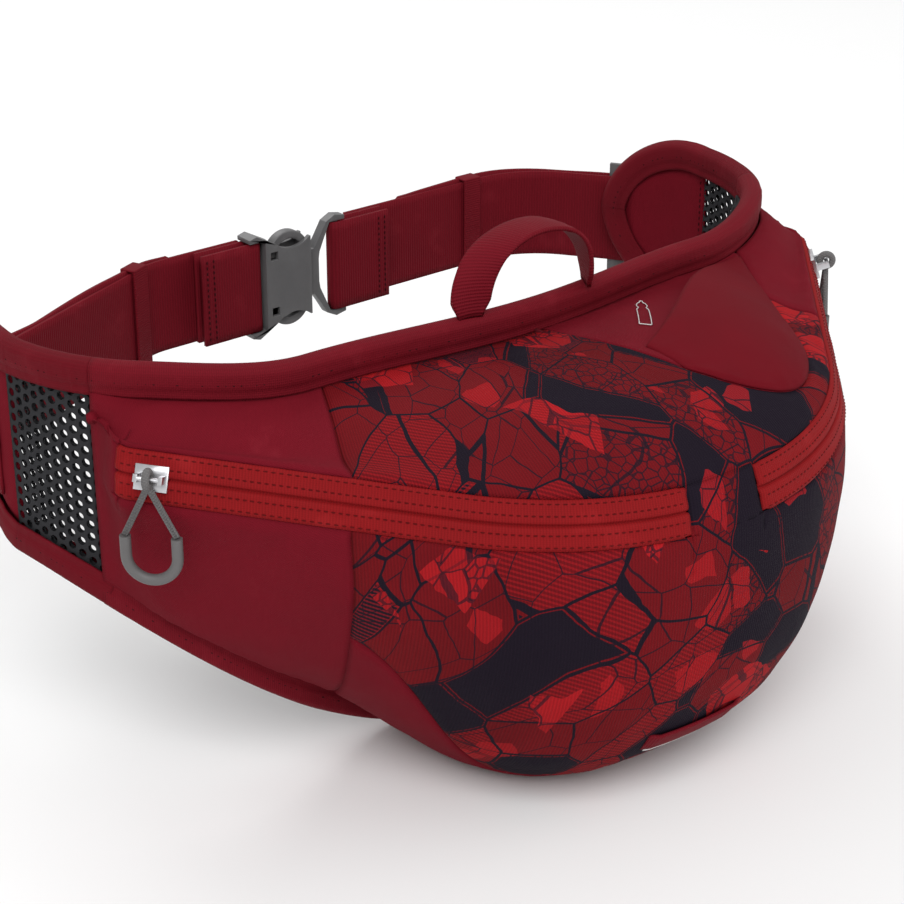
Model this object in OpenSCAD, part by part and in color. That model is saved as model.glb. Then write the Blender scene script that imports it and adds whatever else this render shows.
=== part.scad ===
// Waist pack: a bag on a curved lumbar panel, with padded wings, a webbing belt and a side-release buckle.
// +Z is up, -Y is the bag's front, and the wearer stands in the loop on the +Y side.
// The origin is on the flat base, on the mid plane, under the back panel's top edge.

/* [Bag] */
// Height of the top edge over the surface that the bag stands on
bag_h = 155; // [120:1:190]
// Height of the zips' centre line at the middle of the bag
zip_h = 119; // [90:1:125]
// How much higher the zips' outer ends are than their middle
zip_rise = 12; // [0:1:20]
// Radius of the bag's round front
front_r = 120; // [96:1:150]
// Where the flanks' ends lie behind the back panel's front face
flank_back = 12; // [2:1:27]
// Angle that the round front covers on each side
front_deg = 48; // [40:1:56]
// Length of each straight flank
flank_l = 104; // [90:1:125]
// Thickness of a bag panel with its lining
panel_t = 2; // [1:0.5:3]

/* [Lumbar panel and wings] */
// Half width of the lumbar panel, to where the loop starts to turn
lumbar_w = 92; // [80:1:110]
// How far the lumbar panel bows forward at its middle
lumbar_bow = 8; // [2:1:12]
// Radius of the loop at the hips
loop_r = 76; // [64:1:92]
// Radius of the left wing's curled end
curl_r = 45; // [38:1:60]
// Length of loop from the middle to the end of each wing
wing_run = 258; // [235:1:275]
// Height of the lower edge where the wing's tip starts
wing_low = 80; // [60:1:95]
// Thickness of the foam in the back panel
foam_t = 6; // [4:1:10]
// Thickness of the spacer mesh
mesh_t = 3; // [2:0.5:5]
// Thickness of the padded wing tips
tip_t = 5; // [3:0.5:8]
// Width of the binding tape
binding_w = 10; // [8:0.5:14]
// Thickness of the bound edge
binding_t = 5; // [4:0.5:7]

/* [Webbing] */
// Width of the belt webbing
web_w = 38; // [25:1:50]
// Thickness of the belt webbing
web_t = 1.8; // [1.2:0.1:2.4]
// Height of the belt's centre line
belt_z = 118; // [100:1:130]
// Width of the elastic keepers
keeper_w = 9; // [6:1:16]
// Travel of each keeper along the strap
keeper_travel = 17; // [10:1:17]

/* [Buckle] */
// Length of the closed buckle along the belt
buckle_l = 49; // [44:1:60]
// Thickness of the buckle
buckle_t = 9; // [8:0.5:12]
// Travel that takes the insert clear of the socket
insert_travel = 28; // [26:1:32]

/* [Zips] */
// Visible width of the zip tape
tape_w = 17; // [14:0.5:22]
// How far the tape's face leans back
zip_tilt = 20; // [5:1:35]
// Gap between the two zips at the middle of the bag
zip_gap = 38; // [20:1:60]
// Travel of each slider along its straight flank
slider_travel = 34; // [20:1:36]
// Hanging length of a zip pull
pull_l = 41; // [30:1:55]

/* [Carrying and trim] */
// Width of the grab handle's webbing
handle_w = 15; // [10:1:25]
// Distance between the grab handle's ends
handle_span = 56; // [40:1:90]
// Height of the grab handle's arch over the line that it turns about
handle_rise = 21; // [15:1:40]
// How far the open mouth of the bottle sleeve stands off the bag
sleeve_gape = 9; // [6:1:20]

/* [Hidden] */
$fn = 48;
// Running gap between pieces that move past each other
gap = 0.4;
// Gap that keeps sewn layers from sharing space
ply = 0.1;
// Depth of the back panel's front face behind the origin, at the middle
face_y = 4;
// Runs along the loop: where the bag ends, where the mesh ends and where the wing's tip starts
mesh_from = 167.6;
mesh_end = 205;
tip_from = 206;
// Rise of the top edge from the lumbar panel to the wings
wing_top_rise = 4.5;
// Half width of the lower edge that rests on the floor
base_half = 38;
// Bearings on the bag's outline: the side panels' seam, the slider at rest, the end of flank_l,
// where the skin turns in, and the zip's end
panel_seam = 64;
slider_deg = 94.5;
flank_deg = 97;
turn_in_deg = 98;
zip_end_deg = 100.7;
outline_end = 112;
red = [0.40, 0.07, 0.11];
dark_red = [0.33, 0.05, 0.10];
print_red = [0.48, 0.09, 0.11];
zip_red = [0.58, 0.10, 0.11];
black = [0.06, 0.06, 0.07];
grey = [0.35, 0.35, 0.36];
steel = [0.72, 0.72, 0.72];

// ---- plain helpers ----
function clamp01(t) = min(1, max(0, t));
function ease(t) = let (x = clamp01(t)) x * x * (3 - 2 * x);
function blend(a, b, m) = a + (b - a) * m;
function unit(v) = v / norm(v);
function rad(d) = d * PI / 180;
// Catmull-Rom curve through a list of points, with a lead-in and a lead-out point
function curve(lead, pts, out, n) = let (q = concat([lead], pts, [out])) concat(
  [for (i = [1 : len(pts) - 1], k = [0 : n - 1])
    let (t = k / n, a = q[i - 1], b = q[i], c = q[i + 1], d = q[i + 2])
    (2 * b + (c - a) * t + (2 * a - 5 * b + 4 * c - d) * t * t + (3 * b - a - 3 * c + d) * t * t * t) / 2],
  [pts[len(pts) - 1]]);

// ---- the loop that the lumbar panel, wings and belt follow ----
// Each run is [length, radius]; radius 0 is straight.
// Headings turn from 0 at the middle to 180 at the buckle.
far_y = lumbar_bow + face_y + 2 * loop_r;
left_turn = 85;
left_slant = 156;
right_lead = 20;
last_r = 20;
right_start = [[lumbar_w, 0], [wing_run - lumbar_w, loop_r], [right_lead, 0]];
right_p = loop_step(right_start);
right_r = (far_y - right_p[1]) / (1 + cos(right_p[2]));
left_start = [[lumbar_w, 0], [rad(left_turn) * loop_r, loop_r],
  [rad(left_slant - left_turn) * curl_r, curl_r]];
left_p = loop_step(left_start);
left_run = (far_y - last_r * (1 + cos(left_slant)) - left_p[1]) / sin(left_slant);
far_l = 300;
right_path = concat(right_start, [[rad(180 - right_p[2]) * right_r, right_r], [far_l, 0]]);
left_path = concat(left_start,
  [[left_run, 0], [rad(180 - left_slant) * last_r, last_r], [far_l, 0]]);
// Position and heading at the end of a chain of runs
function loop_step(path, i = 0, p = [0, lumbar_bow + face_y, 0]) = i == len(path) ? p :
  let (l = path[i][0], r = path[i][1], h = p[2], g = r == 0 ? h : h + l / r / rad(1))
  loop_step(path, i + 1, r == 0 ? [p[0] + l * cos(h), p[1] + l * sin(h), h]
    : [p[0] + r * (sin(g) - sin(h)), p[1] + r * (cos(h) - cos(g)), g]);
function cut_path(path, w, i = 0) = i == len(path) || w <= 0 ? [] :
  concat([[min(w, path[i][0]), path[i][1]]], cut_path(path, w - path[i][0], i + 1));
// Point [x, y] and outward normal [nx, ny] at run w; negative runs are on the left
function loop_at(w, off = 0) = let (
    s = w < 0 ? -1 : 1, a = abs(w), q = loop_step(cut_path(s > 0 ? right_path : left_path, a)),
    bow = a < lumbar_w ? lumbar_bow * pow(cos(90 * a / lumbar_w), 2) : 0, n = [sin(q[2]), -cos(q[2])],
    p = [q[0], q[1] - bow] + n * off)
  [s * p[0], p[1], s * n[0], n[1], s * q[2]];
function run_total(path, i = 0) = i == len(path) - 1 ? 0 : path[i][0] + run_total(path, i + 1);
// Run at which the straight far side passes x
function far_run(s, x) = let (p = s > 0 ? right_path : left_path, t = run_total(p),
  q = loop_step(cut_path(p, t))) t + q[0] - s * x;

// ---- edges of the wings and lumbar panel ----
function edge_top(a) = bag_h + wing_top_rise * ease((a - 90) / 60);
function edge_low(a) = wing_low * ease((a - base_half) / (tip_from - 1 - base_half));
tip_mid_rise = 6;
function tip_u(a) = clamp01((a - tip_from) / (wing_run - tip_from + 0.5));
function tip_half(a) = (edge_top(tip_from) - wing_low) / 2 * pow(1 - pow(tip_u(a), 2), 0.6);
function tip_mid(a) = (edge_top(tip_from) + wing_low) / 2 + tip_mid_rise * tip_u(a);
function top_z(a) = a <= tip_from ? edge_top(a) : tip_mid(a) + tip_half(a);
function low_z(a) = a <= tip_from ? edge_low(a) : tip_mid(a) - tip_half(a);

// ---- the bag's outer skin ----
// The round front's centre stands where it brings the flanks' ends to flank_back
front_y = face_y + flank_back + front_r * cos(front_deg) - flank_l * sin(front_deg);
flank0 = [front_r * sin(front_deg), front_y - front_r * cos(front_deg)];
flank_dir = [cos(front_deg), sin(front_deg)];
function w_of(u) = mesh_from * (0.88 * u + 0.12 * pow(u, 3));
function flank_t(f) = flank_l / (flank_deg - front_deg) * (f - front_deg);
function front_at(f) = f <= front_deg ? [front_r * sin(f), front_y - front_r * cos(f)]
  : flank0 + flank_t(f) * flank_dir;
function front_n(f) = f <= front_deg ? [sin(f), -cos(f)] : [sin(front_deg), -cos(front_deg)];
function skin_root(u) = loop_at(w_of(u), (panel_t + ply) * ease((u - 0.45) / 0.4));
function outline_at(u) = let (
    f = u * outline_end, m = ease((f - turn_in_deg) / (outline_end - turn_in_deg)),
    k = loop_at(w_of(u), panel_t + 1))
  blend(front_at(f), [k[0], k[1]], m);
zip_slope = zip_rise / (flank_deg - front_deg / 2);
function zip_z(u) = let (f = u * outline_end)
  zip_h + (f < front_deg ? zip_slope * f * f / 2 / front_deg : zip_slope * (f - front_deg / 2));
function lift(p, z) = [p[0], p[1], z];
// Column of points from the top edge down to the lower edge, at u from 0 (middle) to 1 (wing seam)
function column(u) = let (
    k4 = skin_root(u), k = [k4[0], k4[1]], o = outline_at(u), a = w_of(u), n = front_n(u * outline_end),
    zt = edge_top(a) - binding_w, zb = edge_low(a) + binding_w * ease((a - base_half) / 60), zz = zip_z(u),
    m = ease((u - 0.15) / 0.5), bump = exp(-pow((u - 0.5) / 0.22, 2)), h = zz - zb, top = zt - zz,
    fade = 1 - ease((u - 0.93) / 0.07),
    lean = tape_w / 2 * sin(zip_tilt) * fade, rise = tape_w / 2 * cos(zip_tilt),
    at = function (t, z) lift(blend(k, o, t), max(z, zb)),
    zu = lift(o - n * lean, zz + rise), zc = lift(o, zz), zl = lift(o + n * lean, zz - rise),
    upper = [
      at(0, zt),
      at(blend(0.42, 0.36, m), zt - blend(-0.1, 0.2, m) * top),
      at(blend(0.78, 0.7, m), zt - blend(0.2, 0.5, m) * top),
      zu],
    lower = [
      zl,
      at(blend(1.02, 0.9, m) + 0.10 * bump, zb + blend(0.64, 0.68, m) * h),
      at(blend(0.96, 0.66, m) + 0.13 * bump, zb + blend(0.38, 0.42, m) * h),
      at(blend(0.8, 0.42, m) + 0.1 * bump, zb + blend(0.14, 0.2, m) * h),
      at(blend(0.52, 0.2, m), zb + blend(0, 0.06, m) * h),
      at(0, zb)])
  concat(curve(2 * upper[0] - upper[1], upper, zl, 3), [blend(zu, zc, 0.85), blend(zl, zc, 0.85)],
    [for (p = curve(zu, lower, 2 * lower[5] - lower[4], 2)) lift(p, max(p[2], zb))]);

// Columns stand at named seams, with even steps between
gap_u = asin(zip_gap / 2 / front_r) / outline_end;
seam_u = panel_seam / outline_end;
zip_end_u = zip_end_deg / outline_end;
slider_u = slider_deg / outline_end;
u_stops = [0, gap_u, seam_u, zip_end_u, 1];
u_steps = [2, 9, 8, 2];
half_u = concat([for (i = [0 : len(u_steps) - 1], k = [0 : u_steps[i] - 1])
  blend(u_stops[i], u_stops[i + 1], k / u_steps[i])], [1]);
half_n = len(half_u) - 1;
all_u = concat([for (i = [half_n : -1 : 1]) -half_u[i]], half_u);
i_gap = u_steps[0];
i_seam = i_gap + u_steps[1];
i_zip = i_seam + u_steps[2];
r_zip = 9;
r_tape = 12;
r_print = 18;
r_end = 22;
skin_half = [for (u = half_u) column(u)];
skin = [for (i = [0 : len(all_u) - 1]) let (h = abs(i - half_n), s = i < half_n ? -1 : 1)
  [for (p = skin_half[h]) [s * p[0], p[1], p[2]]]];

function step_of(g, i, j) = let (n = len(g) - 1, m = len(g[0]) - 1,
    a = g[min(i + 1, n)][j] - g[max(i - 1, 0)][j], b = g[i][min(j + 1, m)] - g[i][max(j - 1, 0)])
  unit(cross(a, b));
// The same grid moved along its normals, outward for a positive distance
function shifted(g, d) = [for (i = [0 : len(g) - 1])
  [for (j = [0 : len(g[0]) - 1]) g[i][j] - step_of(g, i, j) * d]];
// The skin's inner face; its end rows keep clear of the back panel
function end_in(i, j) = let (
    u = abs(all_u[i]), q = loop_at(sign(all_u[i]) * w_of(u)), up = j == 0 ? -1 : 1)
  skin[i][j] + panel_t * blend([0, 0, up], [-q[2], -q[3], 0], ease((u - 0.45) / 0.4));
skin_moved = shifted(skin, -panel_t);
skin_in = [for (i = [0 : len(skin) - 1])
  [for (j = [0 : r_end]) j == 0 || j == r_end ? end_in(i, j) : skin_moved[i][j]]];

// Closed solid between two point grids, over the cells that keep(i, j) chooses
module cells(a, b, keep) {
  n = len(a) - 1;
  m = len(a[0]) - 1;
  ka = function (i, j) i * (m + 1) + j;
  kb = function (i, j) (n + 1) * (m + 1) + ka(i, j);
  on = function (i, j) i >= 0 && i < n && j >= 0 && j < m && keep(i, j);
  top = [for (i = [0 : n - 1], j = [0 : m - 1]) if (on(i, j)) each [
    [ka(i, j), ka(i + 1, j), ka(i + 1, j + 1)], [ka(i, j), ka(i + 1, j + 1), ka(i, j + 1)],
    [kb(i, j), kb(i + 1, j + 1), kb(i + 1, j)], [kb(i, j), kb(i, j + 1), kb(i + 1, j + 1)]]];
  side_i = [for (i = [0 : n], j = [0 : m - 1]) let (l = on(i - 1, j), r = on(i, j)) if (l != r) each (r
    ? [[ka(i, j), ka(i, j + 1), kb(i, j)], [kb(i, j), ka(i, j + 1), kb(i, j + 1)]]
    : [[ka(i, j), kb(i, j), ka(i, j + 1)], [kb(i, j), kb(i, j + 1), ka(i, j + 1)]])];
  side_j = [for (i = [0 : n - 1], j = [0 : m]) let (l = on(i, j - 1), r = on(i, j)) if (l != r) each (r
    ? [[ka(i, j), kb(i, j), ka(i + 1, j)], [kb(i, j), kb(i + 1, j), ka(i + 1, j)]]
    : [[ka(i, j), ka(i + 1, j), kb(i, j)], [kb(i, j), ka(i + 1, j), kb(i + 1, j)]])];
  polyhedron(concat([for (c = a) each c], [for (c = b) each c]), concat(top, side_i, side_j));
}
module skin_cells(keep) { cells(skin, skin_in, keep); }
function away(i) = i < half_n ? half_n - 1 - i : i - half_n;

// ---- bag panels ----
// Cell numbers run from -half_n at the left seam to half_n - 1 at the right one
function col(i) = i - half_n;
sleeve_cols = 13;
sleeve_rows = 7;
mouth_row = 2;
sleeve_deep = 5.1;
// Lowest row of the sleeve at a column: it falls steeply from the left and rises slowly to the right
function sleeve_low(c) = c < 1 || c > sleeve_cols ? 0
  : round((sleeve_rows + 0.4) * (c < sleeve_deep ? pow(sin(90 * c / sleeve_deep), 0.7)
    : 1 - pow((c - sleeve_deep) / (sleeve_cols + 1 - sleeve_deep), 1.9)));
function in_sleeve(i, j) = j < sleeve_low(col(i));
function in_front(i) = away(i) < i_seam;
function in_zip(i, j) = j >= r_zip && j < r_tape && away(i) >= i_gap && away(i) < i_zip;
function print_low(i) = min(r_print + 1, r_print - 3 + i_seam - away(i) - 1);
module upper_front_panel() {
  color(print_red) skin_cells(function (i, j) in_front(i) && j < r_zip && !in_sleeve(i, j));
}
module lower_front_panel() {
  color(print_red)
    skin_cells(function (i, j) in_front(i) && j >= r_zip && j < print_low(i) && !in_zip(i, j));
}
module side_panel(s) {
  from = s < 0 ? i_seam + 1 : i_seam;
  color(red) skin_cells(function (i, j) col(i) * s >= from && !in_zip(i, j) && !in_sleeve(i, j));
}
module bottom_panel() {
  color(red) skin_cells(function (i, j) in_front(i) && j >= print_low(i));
}
module sleeve_backing() {
  color(red) skin_cells(in_sleeve_cell);
}
in_sleeve_cell = function (i, j) in_sleeve(i, j);
module zip_tape(s) {
  color(zip_red) skin_cells(function (i, j) in_zip(i, j) && (s < 0) == (col(i) < 0));
}
coil_t = 1.6;
coil_a = shifted(skin, -panel_t - ply);
coil_b = shifted(skin, -panel_t - ply - coil_t);
// The coil sits behind the middle of the tape, inside the bag
module zip_coil(s) {
  color(dark_red) cells(coil_a, coil_b,
    function (i, j) in_zip(i, j) && j == r_zip + 1 && (s < 0) == (col(i) < 0));
}
sleeve_t = 1.4;
flap_from = 2;
function flap_rise(i, j) = let (
    c = clamp01((col(i) - flap_from) / (sleeve_cols - flap_from)),
    d = clamp01((j - mouth_row) / (sleeve_low(clamp_col(i)) - mouth_row)))
  i > half_n && j <= sleeve_rows + 1 ? sleeve_gape * sin(180 * c) * (1 - d * d) : 0;
function clamp_col(i) = min(sleeve_cols - 1, max(flap_from, col(i)));
module bottle_sleeve() {
  color(dark_red) cells(flap_out, flap_in, function (i, j)
    col(i) >= flap_from && col(i) < sleeve_cols && j >= mouth_row && in_sleeve(i, j));
}
flap_out = moved_flap(ply + sleeve_t);
flap_in = moved_flap(ply);
function moved_flap(extra) = [for (i = [0 : len(skin) - 1]) [for (j = [0 : len(skin[0]) - 1])
  skin[i][j] - step_of(skin, i, j) * (extra + flap_rise(i, j))]];
loop_lift = 1.3;
loop_row = 17;
loop_a = shifted(skin, ply + loop_lift);
loop_b = shifted(skin, ply);
module light_loop() {
  color(dark_red) cells(loop_a, loop_b, function (i, j) j == loop_row && away(i) < i_gap);
}
divider_t = 1.5;
// Wall between the two zipped pockets, on the mid plane
module pocket_divider() {
  mid = [for (p = coil_a[half_n]) [p[1], p[2]]];
  color(dark_red) translate([divider_t / 2, 0, 0]) rotate([90, 0, -90]) linear_extrude(divider_t)
    polygon([for (q = mid) [-min(q[0], face_y - ply), q[1]]]);
}

// ---- sheet of the lumbar panel and wings ----
mesh_n = 5;
pad_n = 6;
end_n = 2;
pad_end = wing_run - binding_w;
function steps_to(a, b, n) = [for (k = [1 : n]) blend(a, b, k / n)];
wing_w = concat(steps_to(mesh_from, mesh_end, mesh_n), steps_to(mesh_end, pad_end, pad_n),
  steps_to(pad_end, wing_run, end_n));
wing_n = len(wing_w);
sheet_w = concat([for (k = [wing_n - 1 : -1 : 0]) -wing_w[k]],
  [for (u = all_u) sign(u) * w_of(abs(u))], wing_w);
function sheet_z(a) = let (t = top_z(a), l = low_z(a), b = min(binding_w, 0.45 * (t - l)))
  [t, t - b, blend(t - b, l + b, 1 / 3), blend(t - b, l + b, 2 / 3), l + b, l];
function sheet(off) = [for (w = sheet_w) let (q = loop_at(w, off))
  [for (z = sheet_z(abs(w))) [q[0], q[1], z]]];
last_col = len(sheet_w) - 2;
function end_col(i) = min(i, last_col - i);
function on_side(i, s) = (s < 0) == (i < last_col / 2);
function is_edge(j) = j == 0 || j == 4;
mesh_col = wing_n;
pad_col = wing_n - mesh_n;
tip_col = end_n;
in_lumbar = function (i, j) end_col(i) >= mesh_col && !is_edge(j);
module back_foam() {
  color(black) cells(sheet(0), sheet(-foam_t), in_lumbar);
}
module back_mesh() {
  color(black) cells(sheet(-foam_t), sheet(-foam_t - mesh_t), in_lumbar);
}
module binding_top() {
  color(dark_red) cells(sheet(0), sheet(-binding_t), function (i, j) end_col(i) >= mesh_col && j == 0);
}
module binding_bottom() {
  color(dark_red) cells(sheet(0), sheet(-binding_t), function (i, j) end_col(i) >= mesh_col && j == 4);
}
module binding_wing(s) {
  color(dark_red) cells(sheet(0), sheet(-binding_t), function (i, j)
    on_side(i, s) && end_col(i) < mesh_col && (is_edge(j) || end_col(i) < tip_col));
}
module wing_mesh(s) {
  color(black) cells(sheet(0), sheet(-mesh_t), function (i, j)
    on_side(i, s) && end_col(i) < mesh_col && end_col(i) >= pad_col && !is_edge(j));
}
module wing_tip(s) {
  color(red) cells(sheet(0), sheet(-tip_t), function (i, j)
    on_side(i, s) && end_col(i) < pad_col && end_col(i) >= tip_col && !is_edge(j));
}

// ---- belt webbing ----
// Places a piece at run w of the loop: X leads away along the belt, -Y is outward, Z is up
module at_run(w, z = 0) {
  q = loop_at(w);
  mirror([w < 0 ? 1 : 0, 0, 0]) translate([abs(q[0]), q[1], z]) rotate([0, 0, abs(q[4])]) children();
}
// Strip on edge between two runs, from lo(a) to hi(a) outside the loop's line, wide in height about z
module ribbon(s, w0, w1, n, lo, hi, z = belt_z, wide = web_w) {
  ws = [for (k = [0 : n]) s > 0 ? blend(w0, w1, k / n) : -blend(w1, w0, k / n)];
  strip = function (f) [for (w = ws) let (q = loop_at(w, f(abs(w))))
    [for (e = [1, -1]) [q[0], q[1], z + e * wide / 2]]];
  cells(strip(hi), strip(lo), function (i, j) true);
}
anchor_from = 214;
lock_at = 246;
lock_l = 22;
bar_w = 3;
rail_w = 5;
anchor_t = 1.2;
buckle_y = far_y - 2;
ring_r = 3.5;
bar_r = ring_r - web_t - 0.2;
strap_lo = ring_r - 2 + gap;
strap_hi = strap_lo + web_t;
bar_lo = strap_hi + ply;
bar_t = 2;
tail_high = bar_lo + bar_t + ply;
tail_low = strap_hi + ply;
function tail_lo(a) = blend(tail_high, tail_low, ease((a - lock_at - lock_l / 2 - 2) / 24));
strap_end_x = [16, 38];
tail_end_x = [40, 60];
module anchor_webbing(s) {
  color(dark_red) ribbon(s, anchor_from, lock_at + 2, 12, function (a) ply, function (a) ply + anchor_t);
}
// Steps along the strap's main layer and along its tail
strap_n = 44;
tail_n = 36;
// One strap: the main layer, the turn round the adjuster's bar, and the free tail outside it
module strap(s) {
  k = s > 0 ? 1 : 0;
  main_end = far_run(s, s * strap_end_x[k]);
  tail_end = far_run(s, s * tail_end_x[k]);
  color(dark_red) {
    ribbon(s, lock_at, main_end, strap_n, function (a) strap_lo, function (a) strap_hi);
    ribbon(s, lock_at, tail_end, tail_n, function (a) tail_lo(a), function (a) tail_lo(a) + web_t);
    ribbon(s, lock_at - web_t, lock_at + ply, 1, function (a) strap_lo,
      function (a) tail_high + web_t);
  }
}
module ladderlock(s) {
  rail_z = web_w / 2 + gap;
  lo = function (a) bar_lo;
  hi = function (a) bar_lo + bar_t;
  color(grey) {
    for (e = [-1, 1])
      ribbon(s, lock_at - lock_l / 2, lock_at + lock_l / 2, 8, lo, hi,
        belt_z + e * (rail_z + rail_w / 2), rail_w);
    for (x = [-lock_l / 2, gap, lock_l / 2 - bar_w])
      ribbon(s, lock_at + x, lock_at + x + bar_w, 1, lo, hi, belt_z, 2 * rail_z + 1);
  }
}
keeper_t = 1.2;
// Where the right keeper stands at rest
keeper_x = 106;
// Run at the middle of each keeper at rest
function keeper_run(s) = s > 0 ? far_run(1, keeper_x)
  : -(run_total(left_path) - rad(180 - left_slant) * last_r - keeper_w / 2 - gap);
module keeper(s) {
  in_w = 2 * web_t + ply + 2 * gap;
  in_h = web_w + 2 * gap;
  outer = -tail_low - web_t - gap - keeper_t;
  color(dark_red) at_run(keeper_run(s), belt_z) translate([-keeper_w / 2, outer, -in_h / 2]) difference() {
    translate([0, 0, -keeper_t]) cube([keeper_w, in_w + 2 * keeper_t, in_h + 2 * keeper_t]);
    translate([-1, keeper_t, 0]) cube([keeper_w + 2, in_w, in_h]);
  }
}

// ---- buckle, in its own frame: X along the belt, Y through its thickness, Z up ----
buckle_x = [-16, buckle_l - 16];
bar_at = [-12.2, buckle_l - 20];
loop_l = 26;
loop_sewn = 6;
buckle_half = 22.2;
rear_wall = 2.2;
body_from = -8.4;
body_half = 17;
mouth_x = 14;
layer = buckle_t - 4;
slack = 0.35;
module at_buckle() { translate([0, buckle_y, belt_z]) children(); }
module flat_part(t) { translate([0, t / 2, 0]) rotate([90, 0, 0]) linear_extrude(t) children(); }
// Webbing folded round a bar that stands at x, leading toward s
module bar_loop(x, s) {
  in_r = ring_r - web_t;
  color(dark_red) at_buckle() translate([x, 0, -web_w / 2]) linear_extrude(web_w) difference() {
    union() {
      circle(ring_r);
      translate([s > 0 ? 0 : -loop_l, -ring_r]) square([loop_l, 2 * ring_r]);
    }
    union() {
      circle(in_r);
      translate([s > 0 ? 0 : loop_sewn - loop_l, -in_r]) square([loop_l - loop_sewn, 2 * in_r]);
    }
  }
}
module end_bar(x) {
  at_buckle() translate([x, 0, -web_w / 2 - 1]) cylinder(r = bar_r, h = web_w + 2);
}
// An outline's upper half followed by its mirror image
function both_halves(p) = concat(p, [for (k = [len(p) - 1 : -1 : 0]) [p[k][0], -p[k][1]]]);
// Shoulder of the socket, from the webbing slot's end to the body
ear = [[buckle_x[0], buckle_half - 1], [-12.5, buckle_half], [-3, body_half], [-7.4, body_half - 1]];
// Radius and middle of the scoops that bare the release arms
scoop_r = 13;
scoop_at = [5, 27];
// Square windows in the socket's body
window_w = 3.6;
window_at = [-6, 12];
// The insert, from its webbing slot to the tip of its tongue, and the webbing slot
insert_edge = [[buckle_x[1], buckle_half - 1], [28, buckle_half], [23.5, 20], [19.5, 13.5],
  [17, 10], [15.5, 9.8], [10, 9.8], [9, 6.5], [-4, 5.5]];
insert_slot = [[buckle_x[1] + 1, web_w / 2 + 0.5], [25.2, web_w / 2 + 0.5], [20, 8], [19.5, 5]];
module buckle_socket() {
  color(grey) {
    end_bar(bar_at[0]);
    at_buckle() difference() {
      flat_part(buckle_t) difference() {
        union() {
          polygon(both_halves(ear));
          translate([body_from, -body_half]) square([mouth_x - body_from, 2 * body_half]);
        }
        translate([2 * buckle_x[0], -web_w / 2 - 0.5]) square([body_from - 2 * buckle_x[0], web_w + 1]);
        for (e = [-1, 1]) translate([scoop_at[0], e * scoop_at[1]]) circle(scoop_r);
      }
      translate([body_from + rear_wall, -layer / 2, -30]) cube([40, layer, 60]);
      for (e = [-1, 1]) translate([window_at[0], -buckle_t, e * window_at[1] - window_w / 2])
        cube([window_w, buckle_t, window_w]);
    }
  }
}
module buckle_insert() {
  color(grey) {
    end_bar(bar_at[1]);
    at_buckle() flat_part(layer - 2 * slack) difference() {
      polygon(both_halves(insert_edge));
      polygon(both_halves(insert_slot));
    }
  }
}
arm_c = [4.5, 10.3];
arm_r = 10;
module release_arm(e) {
  color(grey) at_buckle() flat_part(layer - 2 * slack) mirror([0, e < 0 ? 1 : 0]) difference() {
    translate(arm_c) circle(arm_r);
    translate(arm_c) circle(arm_r - 3.4);
    translate([arm_c[0] - 15, arm_c[1] - 20]) square([30, 20]);
  }
}

// ---- zip sliders and pulls ----
slope = zip_slope * (flank_deg - front_deg) / flank_l;
slider_p = lift(front_at(slider_deg), zip_z(slider_u));
bridge_y = 6.2;
cord_r = 1.1;
ring_c = 2.5;
// Slider's own frame: X along the zip, -Y out of the tape's face
module at_slider(s) {
  mirror([s < 0 ? 1 : 0, 0, 0]) translate(slider_p) rotate([0, 0, front_deg]) rotate([0, -atan(slope), 0])
    rotate([-zip_tilt, 0, 0]) children();
}
module slider(s) {
  color(steel) at_slider(s) {
    translate([-5.5, -gap - 1.6, -4.2]) cube([11, 1.6, 8.4]);
    for (x = [-4.8, 3.4]) translate([x, -bridge_y - 0.8, -1.3]) cube([1.4, bridge_y - gap, 2.6]);
    translate([-4.8, -bridge_y, 0]) rotate([0, 90, 0]) cylinder(r = 0.8, h = 9.6);
  }
}
// Pull's frame: its origin is the bridge bar's middle, X along the zip in plan, Z up
module at_pull(s) {
  out = bridge_y * cos(zip_tilt);
  mirror([s < 0 ? 1 : 0, 0, 0])
    translate(slider_p + [out * sin(front_deg), -out * cos(front_deg), bridge_y * sin(zip_tilt)])
    rotate([0, 0, front_deg]) children();
}
grip_r = 8.6;
grip_t = 1.9;
grip_leg = 7;
grip_z = -pull_l + grip_r + grip_t + 3;
ring_t = 1.3;
cord_foot = [grip_r, 0, grip_z + grip_leg + gap];
// One cord, knotted round the bridge and running to both ends of the grip
module pull_cord(s) {
  run = cord_foot + [0, 0, ring_c];
  color(grey) at_pull(s) {
    rotate([0, 90, 0]) rotate_extrude() translate([ring_c, 0]) circle(ring_t);
    for (e = [0, 1]) mirror([e, 0, 0]) translate([0, 0, -ring_c])
      rotate([0, acos(run[2] / norm(run)), 0]) cylinder(r = cord_r, h = norm(run));
  }
}
module pull_grip(s) {
  color(grey) at_pull(s) translate([0, 0, grip_z]) {
    rotate([90, 0, 0]) rotate_extrude(angle = 180) translate([-grip_r, 0]) circle(grip_t);
    for (e = [-1, 1]) translate([e * grip_r, 0, 0]) cylinder(r = grip_t, h = grip_leg);
  }
}

// ---- carrying handle ----
handle_t = 1.6;
bartack = [8, 1, 5];
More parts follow.
